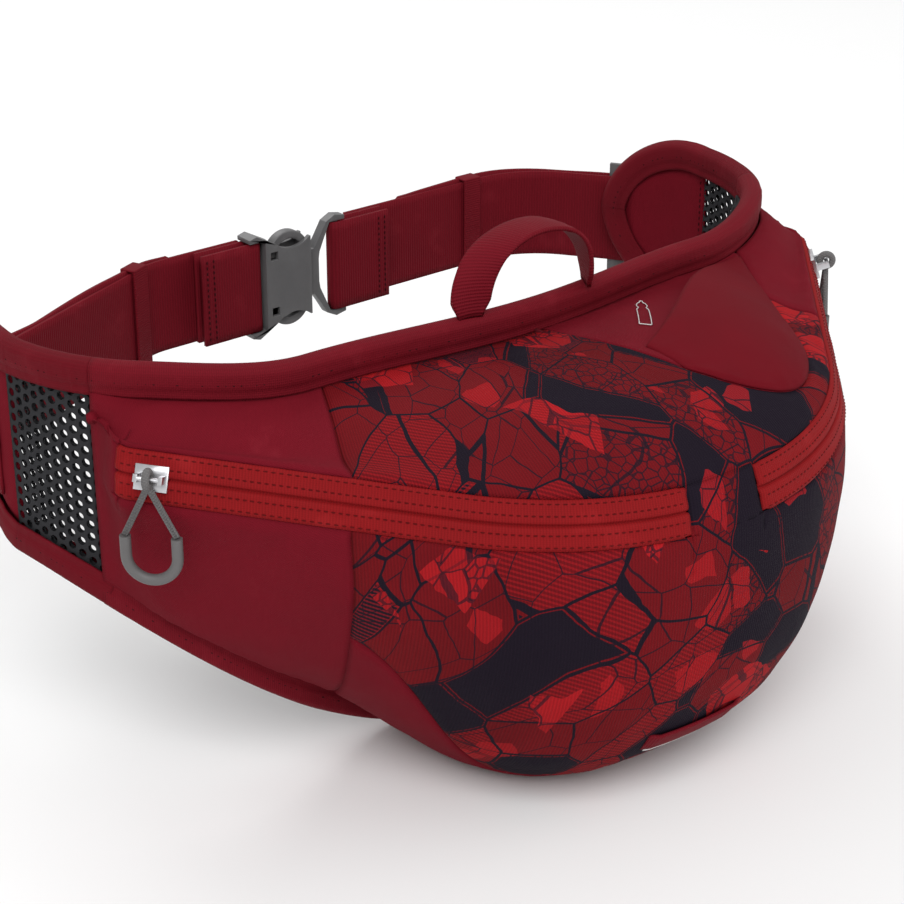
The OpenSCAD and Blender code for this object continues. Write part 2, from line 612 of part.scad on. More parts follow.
// Middle of the bound edge, and the height of the line that the handle turns about
handle_y = face_y + binding_t / 2;
handle_z = bag_h + gap + handle_w / 2;
module arch(a, h) {
  polygon([for (t = [0 : 6 : 180]) [a * cos(t), h * pow(sin(t), 0.8)]]);
}
module grab_handle() {
  color(dark_red) translate([0, handle_y, handle_z]) {
    translate([0, handle_w / 2, 0]) rotate([90, 0, 0]) linear_extrude(handle_w) difference() {
      arch(handle_span / 2, handle_rise);
      translate([0, -ply]) arch(handle_span / 2 - handle_t, handle_rise - handle_t);
    }
    for (e = [0, 1]) mirror([e, 0, 0]) translate([handle_span / 2 - handle_t, 0, 0]) difference() {
      rotate([0, 90, 0]) cylinder(r = handle_w / 2, h = handle_t);
      translate([-1, -handle_w, ply]) cube([handle_t + 2, 2 * handle_w, handle_w]);
    }
  }
}
module handle_bartacks() {
  color(zip_red) for (s = [-1, 1])
    ribbon(s, (handle_span - bartack[0]) / 2, (handle_span + bartack[0]) / 2, 2,
      function (a) ply, function (a) ply + bartack[1], bag_h - binding_w / 2, bartack[2]);
}

upper_front_panel();
lower_front_panel();
side_panel(-1);  // side_panel_left
side_panel(1);  // side_panel_right
bottom_panel();
sleeve_backing();
bottle_sleeve();
zip_tape(-1);  // zip_tape_left
zip_tape(1);  // zip_tape_right
zip_coil(-1);  // zip_coil_left
zip_coil(1);  // zip_coil_right
pocket_divider();
back_foam();
back_mesh();
binding_top();
binding_bottom();
binding_wing(-1);  // binding_wing_left
binding_wing(1);  // binding_wing_right
wing_mesh(-1);  // wing_mesh_left
wing_mesh(1);  // wing_mesh_right
wing_tip(-1);  // wing_tip_left
wing_tip(1);  // wing_tip_right
handle_bartacks();
grab_handle();
light_loop();
anchor_webbing(-1);  // anchor_webbing_left
anchor_webbing(1);  // anchor_webbing_right
ladderlock(-1);  // ladderlock_left
ladderlock(1);  // ladderlock_right
strap(-1);  // strap_left
strap(1);  // strap_right
keeper(-1);  // keeper_left
keeper(1);  // keeper_right
bar_loop(bar_at[0], -1);  // socket_loop
buckle_socket();
buckle_insert();
bar_loop(bar_at[1], 1);  // insert_loop
release_arm(1);  // release_arm_top
release_arm(-1);  // release_arm_bottom
slider(-1);  // slider_left
slider(1);  // slider_right
pull_cord(-1);  // pull_cord_left
pull_cord(1);  // pull_cord_right
pull_grip(-1);  // pull_grip_left
pull_grip(1);  // pull_grip_right
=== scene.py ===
"""A waist pack's looks: its panels, pads, zips, webbing and hardware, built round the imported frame."""

import math

import bmesh
import bpy
from bpy.props import FloatProperty, FloatVectorProperty, PointerProperty
from bpy.types import Operator, Panel, PropertyGroup
from mathutils import Matrix, Vector, noise


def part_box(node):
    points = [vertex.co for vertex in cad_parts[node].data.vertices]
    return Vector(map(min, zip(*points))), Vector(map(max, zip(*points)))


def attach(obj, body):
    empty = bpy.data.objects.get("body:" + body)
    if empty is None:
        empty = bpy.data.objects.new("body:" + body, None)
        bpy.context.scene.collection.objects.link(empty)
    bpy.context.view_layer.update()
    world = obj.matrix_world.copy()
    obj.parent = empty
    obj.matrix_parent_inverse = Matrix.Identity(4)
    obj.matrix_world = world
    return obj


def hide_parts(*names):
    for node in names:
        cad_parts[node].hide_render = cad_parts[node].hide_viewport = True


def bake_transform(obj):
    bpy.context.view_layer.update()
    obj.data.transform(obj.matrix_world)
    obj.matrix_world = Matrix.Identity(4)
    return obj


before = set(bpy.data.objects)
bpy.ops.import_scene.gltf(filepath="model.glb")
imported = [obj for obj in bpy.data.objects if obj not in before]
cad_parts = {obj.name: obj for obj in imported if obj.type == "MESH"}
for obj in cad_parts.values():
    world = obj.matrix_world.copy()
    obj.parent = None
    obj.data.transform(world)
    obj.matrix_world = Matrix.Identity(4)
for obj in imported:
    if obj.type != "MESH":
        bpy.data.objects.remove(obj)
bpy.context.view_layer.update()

bl_info = {
    "name": "Waist pack",
    "version": (1, 0, 0),
    "blender": (4, 5, 0),
    "location": "View3D > Sidebar > Waist pack",
    "description": "Builds the panels, pads, zips, webbing and hardware of a waist pack",
    "category": "Add Mesh",
}

MM = 0.001
PLY = 0.1 * MM  # air between two layers of webbing
LIFT = 0.1 * MM  # how far cloth stays over the floor


# ---- what a user may change ----


def length(name, default, description):
    units = {"subtype": "DISTANCE", "unit": "LENGTH"}
    return FloatProperty(name=name, default=default, description=description, **units)


def angle(name, degrees, description):
    return FloatProperty(name=name, default=math.radians(degrees), description=description, subtype="ANGLE")


def colour(name, r, g, b, description):
    """A colour given the way a swatch book gives it, 0 to 255, and kept as light"""
    light = [((c / 255 + 0.055) / 1.055) ** 2.4 if c > 10 else c / 255 / 12.92 for c in (r, g, b)]
    swatch = {"subtype": "COLOR", "size": 3, "min": 0, "max": 1}
    return FloatVectorProperty(name=name, default=light, description=description, **swatch)


class PackSizes(PropertyGroup):
    """The pack's sizes; those of the frame repeat the frame's own"""

    bag_height: length("Bag height", 0.155, "Height of the bag's top edge over the floor")
    zip_height: length("Zip height", 0.119, "Height of the zips' centre line at the middle")
    zip_rise: length("Zip rise", 0.012, "How much higher the zips' outer ends are")
    front_radius: length("Front radius", 0.120, "Radius of the bag's round front")
    front_centre: length("Front centre", 0.015, "Depth of the front's centre behind the back panel's face")
    front_angle: angle("Front angle", 48, "Angle that the round front covers on each side")
    flank_length: length("Flank length", 0.104, "Length of each straight flank")
    panel_thickness: length("Panel thickness", 0.002, "Thickness of a bag panel with its lining")
    lumbar_half: length("Lumbar half width", 0.092, "Half width of the lumbar panel")
    lumbar_bow: length("Lumbar bow", 0.008, "How far the lumbar panel bows forward")
    face: length("Panel face", 0.004, "Depth of the back panel's face at the middle")
    loop_radius: length("Hip radius", 0.076, "Radius of the loop at the hips")
    curl_radius: length("Curl radius", 0.045, "Radius of the left wing's curled end")
    wing_run: length("Wing run", 0.258, "Length of loop from the middle to a wing's end")
    wing_low: length("Wing's lower edge", 0.080, "Height of the lower edge at the wing's tip")
    mesh_from: length("Bag's end", 0.1676, "Run where the bag meets the wings")
    mesh_end: length("Mesh end", 0.205, "Run where the wing's mesh ends")
    tip_from: length("Tip start", 0.206, "Run where the wing's tip starts to round")
    foam: length("Foam", 0.006, "Thickness of the foam in the back panel")
    mesh: length("Mesh", 0.003, "Thickness of the spacer mesh")
    tip: length("Tip", 0.005, "Thickness of the padded wing tips")
    binding_width: length("Binding width", 0.010, "Width of the binding tape on each face")
    binding: length("Bound edge", 0.005, "Thickness of the bound edge")
    webbing_width: length("Webbing width", 0.038, "Width of the belt webbing")
    webbing: length("Webbing thickness", 0.0018, "Thickness of the belt webbing")
    belt_height: length("Belt height", 0.118, "Height of the belt's centre line")
    keeper: length("Keeper width", 0.009, "Width of the elastic keepers")
    tape_width: length("Zip tape", 0.017, "Visible width of the zip tape")
    tape_tilt: angle("Zip tilt", 20, "How far the tape's face leans back")
    zip_gap: length("Zip gap", 0.038, "Gap between the two zips at the middle")
    handle_width: length("Handle width", 0.015, "Width of the grab handle's webbing")
    handle_span: length("Handle span", 0.056, "Distance between the grab handle's ends")
    handle_rise: length("Handle rise", 0.021, "Height of the grab handle's arch over its turning line")
    sleeve_gape: length("Sleeve gape", 0.009, "How far the bottle sleeve's mouth stands off the bag")
    stitch: length("Stitch", 0.0026, "Length of one stitch with its gap")


class PackColours(PropertyGroup):
    """The pack's colours"""

    plain: colour("Plain cloth", 106, 14, 28, "The plain panels")
    print_base: colour("Print ground", 114, 15, 22, "The printed cloth's ground")
    print_bright: colour("Print bright", 176, 26, 32, "The printed cloth's bright patches")
    print_dark: colour("Print dark", 27, 19, 31, "The printed cloth's dark patches")
    stretch: colour("Stretch cloth", 100, 9, 22, "The bottle sleeve")
    tape: colour("Zip tape", 128, 18, 21, "The zip tapes")
    webbing: colour("Webbing", 106, 14, 27, "Webbing and binding")
    thread: colour("Thread", 52, 6, 13, "Stitches")
    tack: colour("Bartacks", 122, 22, 32, "Bartacks")
    mesh: colour("Spacer mesh", 22, 22, 24, "The black spacer mesh")
    plastic: colour("Buckle plastic", 92, 91, 92, "Buckle and adjusters")
    steel: colour("Slider metal", 205, 205, 208, "Zip sliders")
    cord: colour("Pull cord", 108, 106, 106, "Zip pull cords")
    grip: colour("Pull grip", 92, 90, 90, "Zip pull grips")
    silver: colour("Reflective", 214, 212, 210, "Reflective trim")
    floor: colour("Floor", 240, 240, 240, "The floor")


# ---- plain maths ----


def lerp(a, b, t):
    return a + (b - a) * t


def clamp(t):
    return min(1.0, max(0.0, t))


def ease(t):
    t = clamp(t)
    return t * t * (3 - 2 * t)


def hump(d, width):
    return math.exp(-((d / width) ** 2))


def catmull(a, b, c, d, t):
    return (2 * b + (c - a) * t + (2 * a - 5 * b + 4 * c - d) * t * t + (3 * b - a - 3 * c + d) * t**3) / 2


def ripple(x, y, z=0.0):
    """Smooth noise from -1 to 1"""
    return noise.noise(Vector((x, y, z)))


# ---- the pack's surfaces ----


class Form:
    """The loop that the panel, wings and belt follow, and the bag's outer skin"""

    END, TURN_IN, SEAM, FLANK_END, ZIP_END = 112.0, 98.0, 64.0, 97.0, 100.7
    LEFT_TURN, LEFT_SLANT, LAST_RADIUS, FAR = math.radians(85), math.radians(156), 0.020, 0.3
    ZIP_TOP, ZIP_LOW, PRINT_LOW, ROWS, SLEEVE_DEEP = 9, 12, 19, 22, 5.1
    ZIP_MID = (ZIP_TOP + ZIP_LOW) / 2
    GAP_LEFT, GAP_RIGHT = -2.4, 0.8
    BEYOND = 9.0  # metres, past the end of any chain of runs
    # The skin's control points over and under the zip, as shares. Each row gives how far out a point lies at
    # the middle and at the wing, then how far down or up, and under the zip how far the belly pushes it out.
    OVER = (0, 0, 0, 0), (0.42, 0.36, -0.1, 0.2), (0.78, 0.7, 0.2, 0.5)
    UNDER = (
        (1.02, 0.9, 0.64, 0.68, 0.10),
        (0.96, 0.66, 0.38, 0.42, 0.13),
        (0.8, 0.42, 0.14, 0.2, 0.1),
        (0.52, 0.2, 0, 0.06, 0),
        (0, 0, 0, 0, 0),
    )

    def __init__(self, z):
        self.z = z
        self.far_y = z.lumbar_bow + z.face + 2 * z.loop_radius
        right = [(z.lumbar_half, 0), (z.wing_run - z.lumbar_half, z.loop_radius), (0.020, 0)]
        x, y, h = self.walk(right, self.BEYOND)
        last = (self.far_y - y) / (1 + math.cos(h))
        self.right = right + [((math.pi - h) * last, last), (self.FAR, 0)]
        left = [
            (z.lumbar_half, 0),
            (self.LEFT_TURN * z.loop_radius, z.loop_radius),
            ((self.LEFT_SLANT - self.LEFT_TURN) * z.curl_radius, z.curl_radius),
        ]
        x, y, h = self.walk(left, self.BEYOND)
        bend = self.LAST_RADIUS * (1 + math.cos(self.LEFT_SLANT))
        slant = (self.far_y - bend - y) / math.sin(self.LEFT_SLANT)
        turn = (math.pi - self.LEFT_SLANT) * self.LAST_RADIUS
        self.left = left + [(slant, 0), (turn, self.LAST_RADIUS), (self.FAR, 0)]
        self.gap_u = math.degrees(math.asin(z.zip_gap / 2 / z.front_radius)) / self.END
        self.seam_u = self.SEAM / self.END
        self.left_zip_u = self.u_of_gap(self.GAP_LEFT)
        self.right_zip_u = self.u_of_gap(self.GAP_RIGHT)
        self.zip_end_u = self.ZIP_END / self.END
        self.front = math.degrees(z.front_angle)
        self.zip_slope = z.zip_rise / (self.FLANK_END - self.front / 2)
        self.columns = {}
        self.lengths = {}
        self.arc = [0.0]
        last = self.skin(0.0, self.ZIP_MID)
        for k in range(1, 201):
            here = self.skin(k / 200, self.ZIP_MID)
            self.arc.append(self.arc[-1] + (here - last).length)
            last = here

    def u_of_gap(self, c):
        return c / 2 * self.gap_u

    def walk(self, path, w):
        """Place and heading after w metres along a chain of (length, radius) runs; radius 0 is straight"""
        x, y, h = 0.0, self.z.lumbar_bow + self.z.face, 0.0
        for run, r in path:
            step = min(w, run)
            if step <= 0:
                break
            if r:
                g = h + step / r
                x, y, h = x + r * (math.sin(g) - math.sin(h)), y + r * (math.cos(h) - math.cos(g)), g
            else:
                x, y = x + step * math.cos(h), y + step * math.sin(h)
            w -= run
        return x, y, h

    def loop(self, w, off=0.0, z=0.0):
        """Point at run w of the loop, off metres outside it; negative runs are on the left"""
        s, a = (-1 if w < 0 else 1), abs(w)
        x, y, h = self.walk(self.right if s > 0 else self.left, a)
        half = self.z.lumbar_half
        bow = self.z.lumbar_bow * math.cos(math.pi / 2 * a / half) ** 2 if a < half else 0.0
        return Vector((s * (x + math.sin(h) * off), y - bow - math.cos(h) * off, z))

    def outward(self, w):
        s, a = (-1 if w < 0 else 1), abs(w)
        h = self.walk(self.right if s > 0 else self.left, a)[2]
        return Vector((s * math.sin(h), -math.cos(h), 0))

    def far_run(self, side, x):
        """Run at which the straight far side passes x"""
        path = self.right if side > 0 else self.left
        total = sum(run for run, _ in path[:-1])
        return total + self.walk(path, total)[0] - side * x

    def edge_top(self, a):
        return self.z.bag_height + 4.5 * MM * ease((a - 0.090) / 0.060)

    def edge_low(self, a):
        return self.z.wing_low * ease((a - 0.038) / (self.z.tip_from - 0.039))

    def tip_mid(self, a):
        u = clamp((a - self.z.tip_from) / (self.z.wing_run - self.z.tip_from))
        return (self.edge_top(self.z.tip_from) + self.z.wing_low) / 2 + 6 * MM * u

    def tip_half(self, a):
        u = clamp((a - self.z.tip_from) / (self.z.wing_run - self.z.tip_from))
        return (self.edge_top(self.z.tip_from) - self.z.wing_low) / 2 * max(0.0, 1 - u * u) ** 0.6

    def top_z(self, a):
        return self.edge_top(a) if a <= self.z.tip_from else self.tip_mid(a) + self.tip_half(a)

    def low_z(self, a):
        return self.edge_low(a) if a <= self.z.tip_from else self.tip_mid(a) - self.tip_half(a)

    def run_of(self, u):
        return self.z.mesh_from * (0.88 * u + 0.12 * u**3)

    def outline(self, f):
        """Point on the bag's plan outline at bearing f, in degrees, and its outward normal"""
        z, z_angle = self.z, self.z.front_angle
        r, y0 = z.front_radius, z.face + z.front_centre
        if f <= self.front:
            g = math.radians(f)
            return Vector((r * math.sin(g), y0 - r * math.cos(g), 0)), Vector((math.sin(g), -math.cos(g), 0))
        t = z.flank_length / (self.FLANK_END - self.front) * (f - self.front)
        sine, cosine = math.sin(z_angle), math.cos(z_angle)
        return Vector((r * sine + t * cosine, y0 - r * cosine + t * sine, 0)), Vector((sine, -cosine, 0))

    def zip_z(self, f):
        """Height of the zips' centre line at bearing f, in degrees"""
        if f < self.front:
            return self.z.zip_height + self.zip_slope * f * f / 2 / self.front
        return self.z.zip_height + self.zip_slope * (f - self.front / 2)

    def column(self, u):
        """Control points of the skin's column at u, from 0 at the middle to 1 at the wing"""
        key = round(u, 6)
        if key in self.columns:
            return self.columns[key]
        z, f, a = self.z, u * self.END, self.run_of(u)
        root = self.loop(a, (z.panel_thickness + PLY) * ease((u - 0.45) / 0.4))
        p, n = self.outline(f)
        side = self.loop(a, z.panel_thickness + MM)
        o = p.lerp(side, ease((f - self.TURN_IN) / (self.END - self.TURN_IN)))
        zt = self.edge_top(a) - z.binding_width
        zb = self.edge_low(a) + z.binding_width * ease((a - 0.038) / 0.060)
        zz = self.zip_z(f)
        m, bump, h, top = ease((u - 0.15) / 0.5), hump(u - 0.5, 0.22), zz - zb, zt - zz
        fade = 1 - ease((u - 0.93) / 0.07)
        lean = z.tape_width / 2 * math.sin(z.tape_tilt) * fade
        rise = z.tape_width / 2 * math.cos(z.tape_tilt)

        def at(t, height):
            q = root.lerp(o, t)
            return Vector((q.x, q.y, max(height, zb)))

        zu, zl = o - n * lean, o + n * lean
        zu.z, zl.z = zz + rise, zz - rise
        upper = [at(lerp(a, b, m), zt - lerp(c, d, m) * top) for a, b, c, d in self.OVER] + [zu]
        lower = [zl] + [at(lerp(a, b, m) + e * bump, zb + lerp(c, d, m) * h) for a, b, c, d, e in self.UNDER]
        upper = [2 * upper[0] - upper[1]] + upper + [zl]
        lower = [zu] + lower + [2 * lower[5] - lower[4]]
        self.columns[key] = (upper, lower, zb)
        return self.columns[key]

    def skin(self, u, row):
        """Point of the bare skin at u from -1 to 1 and row from 0, the top, to 22, the lower edge"""
        upper, lower, zb = self.column(abs(u))
        row = min(max(row, 0), self.ROWS)
        if row <= self.ZIP_TOP:
            i, t = min(2, int(row / 3)), row / 3
            p = catmull(*upper[i : i + 4], t - i)
        elif row < self.ZIP_LOW:
            p = upper[4].lerp(lower[1], (row - self.ZIP_TOP) / 3)
        else:
            t = (row - self.ZIP_LOW) / 2
            i = min(4, int(t))
            p = catmull(*lower[i : i + 4], t - i)
            p.z = max(p.z, zb)
        return Vector((math.copysign(p.x, u) if u else 0.0, p.y, p.z))

    def normal(self, u, row):
        a, b = self.skin(max(-1, u - 0.004), row), self.skin(min(1, u + 0.004), row)
        c, d = self.skin(u, max(0, row - 0.12)), self.skin(u, min(self.ROWS, row + 0.12))
        return (b - a).cross(c - d).normalized()

    def bag(self, u, row, off=0.0):
        """Point off metres outside the bare skin"""
        return self.skin(u, row) + self.normal(u, row) * off

    def across(self, u):
        """Length round the bag from the middle to u"""
        x = clamp(abs(u)) * 200
        i = min(199, int(x))
        return math.copysign(lerp(self.arc[i], self.arc[i + 1], x - i), u)

    def down(self, u, row):
        """Length down the skin from its top edge to a row"""
        key = round(abs(u), 3)
        if key not in self.lengths:
            sums, last = [0.0], self.skin(key, 0)
            for k in range(1, self.ROWS * 2 + 1):
                here = self.skin(key, k / 2)
                sums.append(sums[-1] + (here - last).length)
                last = here
            self.lengths[key] = sums
        x = min(max(row, 0), self.ROWS) * 2
        i = min(self.ROWS * 2 - 1, int(x))
        return lerp(self.lengths[key][i], self.lengths[key][i + 1], x - i)

    def u_of(self, c):
        """u at a column number of the frame's skin"""
        a = abs(c)
        if a <= 2:
            u = a / 2 * self.gap_u
        elif a <= 11:
            u = lerp(self.gap_u, self.seam_u, (a - 2) / 9)
        else:
            u = lerp(self.seam_u, self.zip_end_u, (a - 11) / 8)
        return math.copysign(u, c)

    def column_of(self, u):
        a = abs(u)
        if a <= self.gap_u:
            return math.copysign(2 * a / self.gap_u, u)
        if a <= self.seam_u:
            return math.copysign(2 + 9 * (a - self.gap_u) / (self.seam_u - self.gap_u), u)
        return math.copysign(11 + 8 * (a - self.seam_u) / (self.zip_end_u - self.seam_u), u)

    # Where the panels are cut, as rows at u

    def print_low(self, u):
        return self.PRINT_LOW - 3.3 * ease((abs(self.column_of(u)) - 6) / 5)

    def sleeve_low(self, u):
        c = self.column_of(u) - 0.5
        if c <= 0 or c >= 14:
            return 0.0
        if c < self.SLEEVE_DEEP:
            return 7.4 * math.sin(math.pi / 2 * c / self.SLEEVE_DEEP) ** 0.7
        return 7.4 * (1 - ((c - self.SLEEVE_DEEP) / (14 - self.SLEEVE_DEEP)) ** 1.9)

    def sleeve_mouth(self, u):
        return lerp(2.9, 0.6, clamp((self.column_of(u) - 2) / 12))


FORM = None


def form():
    return FORM


# ---- making meshes ----


def grid(bm, across, along, place):
    """Adds a grid whose points place(s, t) puts in space, with the cloth's own lengths as its UV map"""
    made = bmesh.ops.create_grid(bm, x_segments=across, y_segments=along, size=0.5)["verts"]
    layer = bm.loops.layers.uv.verify()
    where = {}
    for v in made:
        v.co, where[v] = place(v.co.x + 0.5, v.co.y + 0.5)
    for face in {f for v in made for f in v.link_faces}:
        face.smooth = True
        for loop in face.loops:
            loop[layer].uv = where[loop.vert]
    return made


def piece(name, bm, body, material, nodes=(), wall=0.0, side=-1.0, merge=0.05 * MM):
    """Makes a mesh into a named piece with a material. It may ride on a body, replace nodes, and have a wall,
    which lies inside the sheet at side -1 and half on each face at side 0."""
    if merge:
        bmesh.ops.remove_doubles(bm, verts=bm.verts, dist=merge)
    mesh = bpy.data.meshes.new(name)
    bm.to_mesh(mesh)
    bm.free()
    obj = bpy.data.objects.new(name, mesh)
    bpy.context.scene.collection.objects.link(obj)
    mesh.materials.append(MATERIALS[material])
    if wall:
        shell = obj.modifiers.new("Wall", "SOLIDIFY")
        shell.thickness, shell.offset, shell.use_even_offset = wall, side, False
    if body:
        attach(obj, body)
    if nodes:
        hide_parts(*nodes)
    return obj


def band(bm, path, width, count=10):
    """Adds an upright flat band, width metres high, that follows a path of points"""
    total = [0.0]
    for a, b in zip(path, path[1:]):
        total.append(total[-1] + (b - a).length)

    def place(s, t):
        x = s * (len(path) - 1)
        i = min(len(path) - 2, int(x + 1e-6))
        p = path[i].lerp(path[i + 1], x - i)
        up = (t - 0.5) * width
        return p + Vector((0, 0, 1)) * up, (lerp(total[i], total[i + 1], x - i), up)

    return grid(bm, len(path) - 1, count, place)


def resample(path, step):
    """The same path with points a step apart"""
    total = [0.0]
    for a, b in zip(path, path[1:]):
        total.append(total[-1] + (b - a).length)
    n = max(2, round(total[-1] / step))
    out, i = [], 0
    for k in range(n + 1):
        x = total[-1] * k / n
        while i < len(path) - 2 and total[i + 1] < x:
            i += 1
        out.append(path[i].lerp(path[i + 1], clamp((x - total[i]) / max(1e-9, total[i + 1] - total[i]))))
    return out


def sew(bm, points, out, pitch, radius=0.35 * MM, fill=0.62):
    """Adds a row of stitches along a path of points; out(i) is the cloth's outward direction at point i"""
    path = resample(points, pitch)
    for k, (a, b) in enumerate(zip(path, path[1:])):
        along = (b - a).normalized()
        n = out((k + 0.5) / (len(path) - 1))
        n = (n - along * n.dot(along)).normalized()
        turn = Matrix((along, n.cross(along), n)).transposed().to_4x4()
        size = Matrix.Diagonal((pitch * fill / 2, radius, radius * 0.7, 1))
        where = Matrix.Translation((a + b) / 2 + n * radius * 0.25)
        laid = where @ turn @ size @ Matrix.Rotation(math.pi / 2, 4, "Y")
        bmesh.ops.create_uvsphere(bm, u_segments=6, v_segments=4, radius=1, matrix=laid)
    for face in bm.faces:
        face.smooth = True


# ---- materials ----


class Value:
    """A shader socket that takes part in sums"""

    def __init__(self, paint, socket):
        self.paint, self.socket = paint, socket

    def sum(self, operation, *others):
        return self.paint.maths(operation, self, *others)

    def __add__(self, other):
        return self.sum("ADD", other)

    def __sub__(self, other):
        return self.sum("SUBTRACT", other)

    def __mul__(self, other):
        return self.sum("MULTIPLY", other)

    def __rsub__(self, other):
        return self.paint.maths("SUBTRACT", other, self)

    def __gt__(self, other):
        return self.sum("GREATER_THAN", other)

    def __lt__(self, other):
        return self.sum("LESS_THAN", other)

    def sine(self):
        return self.sum("SINE")

    def size(self):
        return self.sum("ABSOLUTE")

    def most(self, other):
        return self.sum("MAXIMUM", other)

    def step(self, low, high):
        """0 below low and 1 above high, smoothly"""
        ends = {0: self, 1: low, 2: high, 3: 0.0, 4: 1.0}
        n = self.paint.node("ShaderNodeMapRange", {"interpolation_type": "SMOOTHSTEP"}, ends)
        return Value(self.paint, n.outputs[0])


class Paint:
    """One material and its nodes"""

    def __init__(self, name, **uniform):
        self.material = bpy.data.materials.new(name)
        self.material.use_nodes = True
        self.tree = self.material.node_tree
        self.shader = self.tree.nodes["Principled BSDF"]
        for key, value in uniform.items():
            self.shader.inputs[key.replace("_", " ")].default_value = value

    def put(self, socket, value):
        if isinstance(value, Value):
            value = value.socket
        if isinstance(value, bpy.types.NodeSocket):
            self.tree.links.new(value, socket)
        elif hasattr(value, "__len__") and len(value) == 3 and socket.type == "RGBA":
            socket.default_value = (*value, 1)
        else:
            socket.default_value = value

    def node(self, kind, settings=None, values=None):
        n = self.tree.nodes.new(kind)
        for key, value in (settings or {}).items():
            if key == "stops":
                ramp = n.color_ramp.elements
                while len(ramp) > 1:
                    ramp.remove(ramp[-1])
                for i, (at, rgb) in enumerate(value):
                    stop = ramp[0] if i == 0 else ramp.new(at)
                    stop.position, stop.color = at, (*rgb, 1)
            else:
                setattr(n, key, value)
        for key, value in (values or {}).items():
            self.put(n.inputs[key], value)
        return n

    def maths(self, operation, *terms):
        n = self.node("ShaderNodeMath", {"operation": operation}, dict(enumerate(terms)))
        return Value(self, n.outputs[0])

    def mix(self, share, a, b, kind="MIX"):
        n = self.node("ShaderNodeMix", {"data_type": "RGBA", "blend_type": kind})
        self.put(n.inputs[0], share)
        self.put(n.inputs[6], a)
        self.put(n.inputs[7], b)
        return n.outputs[2]

    def coordinates(self, kind="Object"):
        return self.node("ShaderNodeTexCoord").outputs[kind]

    def split(self, vector):
        n = self.node("ShaderNodeSeparateXYZ", None, {0: vector})
        return [Value(self, s) for s in n.outputs]

    def join(self, x, y, z=0.0):
        return self.node("ShaderNodeCombineXYZ", None, {0: x, 1: y, 2: z}).outputs[0]

    def clouds(self, vector, scale, detail=2.0, roughness=0.5):
        values = {"Vector": vector, "Scale": scale, "Detail": detail, "Roughness": roughness}
        return Value(self, self.node("ShaderNodeTexNoise", None, values).outputs[0])

    def tint(self, colour, share):
        """The colour, darker at share 0 and lighter at share 1"""
        dark, light = [c * 0.72 for c in colour], [min(1.0, c * 1.25) for c in colour]
        return self.mix(share, dark, light)

    def finish(self, base, rough, height=None, depth=0.3 * MM, strength=1.0):
        self.put(self.shader.inputs["Base Color"], base)
        self.put(self.shader.inputs["Roughness"], rough)
        if height is not None:
            values = {"Height": height, "Distance": depth, "Strength": strength}
            self.put(self.shader.inputs["Normal"], self.node("ShaderNodeBump", None, values).outputs[0])
        return self.material


TURN = 2 * math.pi


def waves(value, pitch):
    """0 to 1 and back once every pitch"""
    return (value * (TURN / pitch)).sine() * 0.5 + 0.5


def weave(paint, uv, pitch):
    x, y, _ = paint.split(uv)
    over = (x * (TURN / pitch)).sine() * (y * (TURN / pitch)).sine()
    return over * 0.5 + 0.5


def plain_cloth(name, colour, pitch=0.9 * MM):
    """A matte plain weave with slight unevenness and rubbed high spots"""
    p = Paint(name, Specular_IOR_Level=0.08)
    uv, place = p.coordinates("UV"), p.coordinates()
    threads = weave(p, uv, pitch)
    uneven = p.clouds(place, 55.0, 4.0)
    drawn_out = p.node("ShaderNodeVectorMath", {"operation": "MULTIPLY"}, {0: uv, 1: (900, 120, 1)})
    slubs = p.clouds(drawn_out.outputs[0], 1.0)
    base = p.tint(colour, threads * 0.35 + uneven * 0.4 + slubs * 0.25)
    worn = p.mix((uneven - 0.62).most(0.0) * 1.2, base, [min(1, c * 1.8 + 0.02) for c in colour])
    return p.finish(worn, uneven * 0.12 + 0.74, threads * 0.7 + slubs * 0.5, 0.16 * MM)


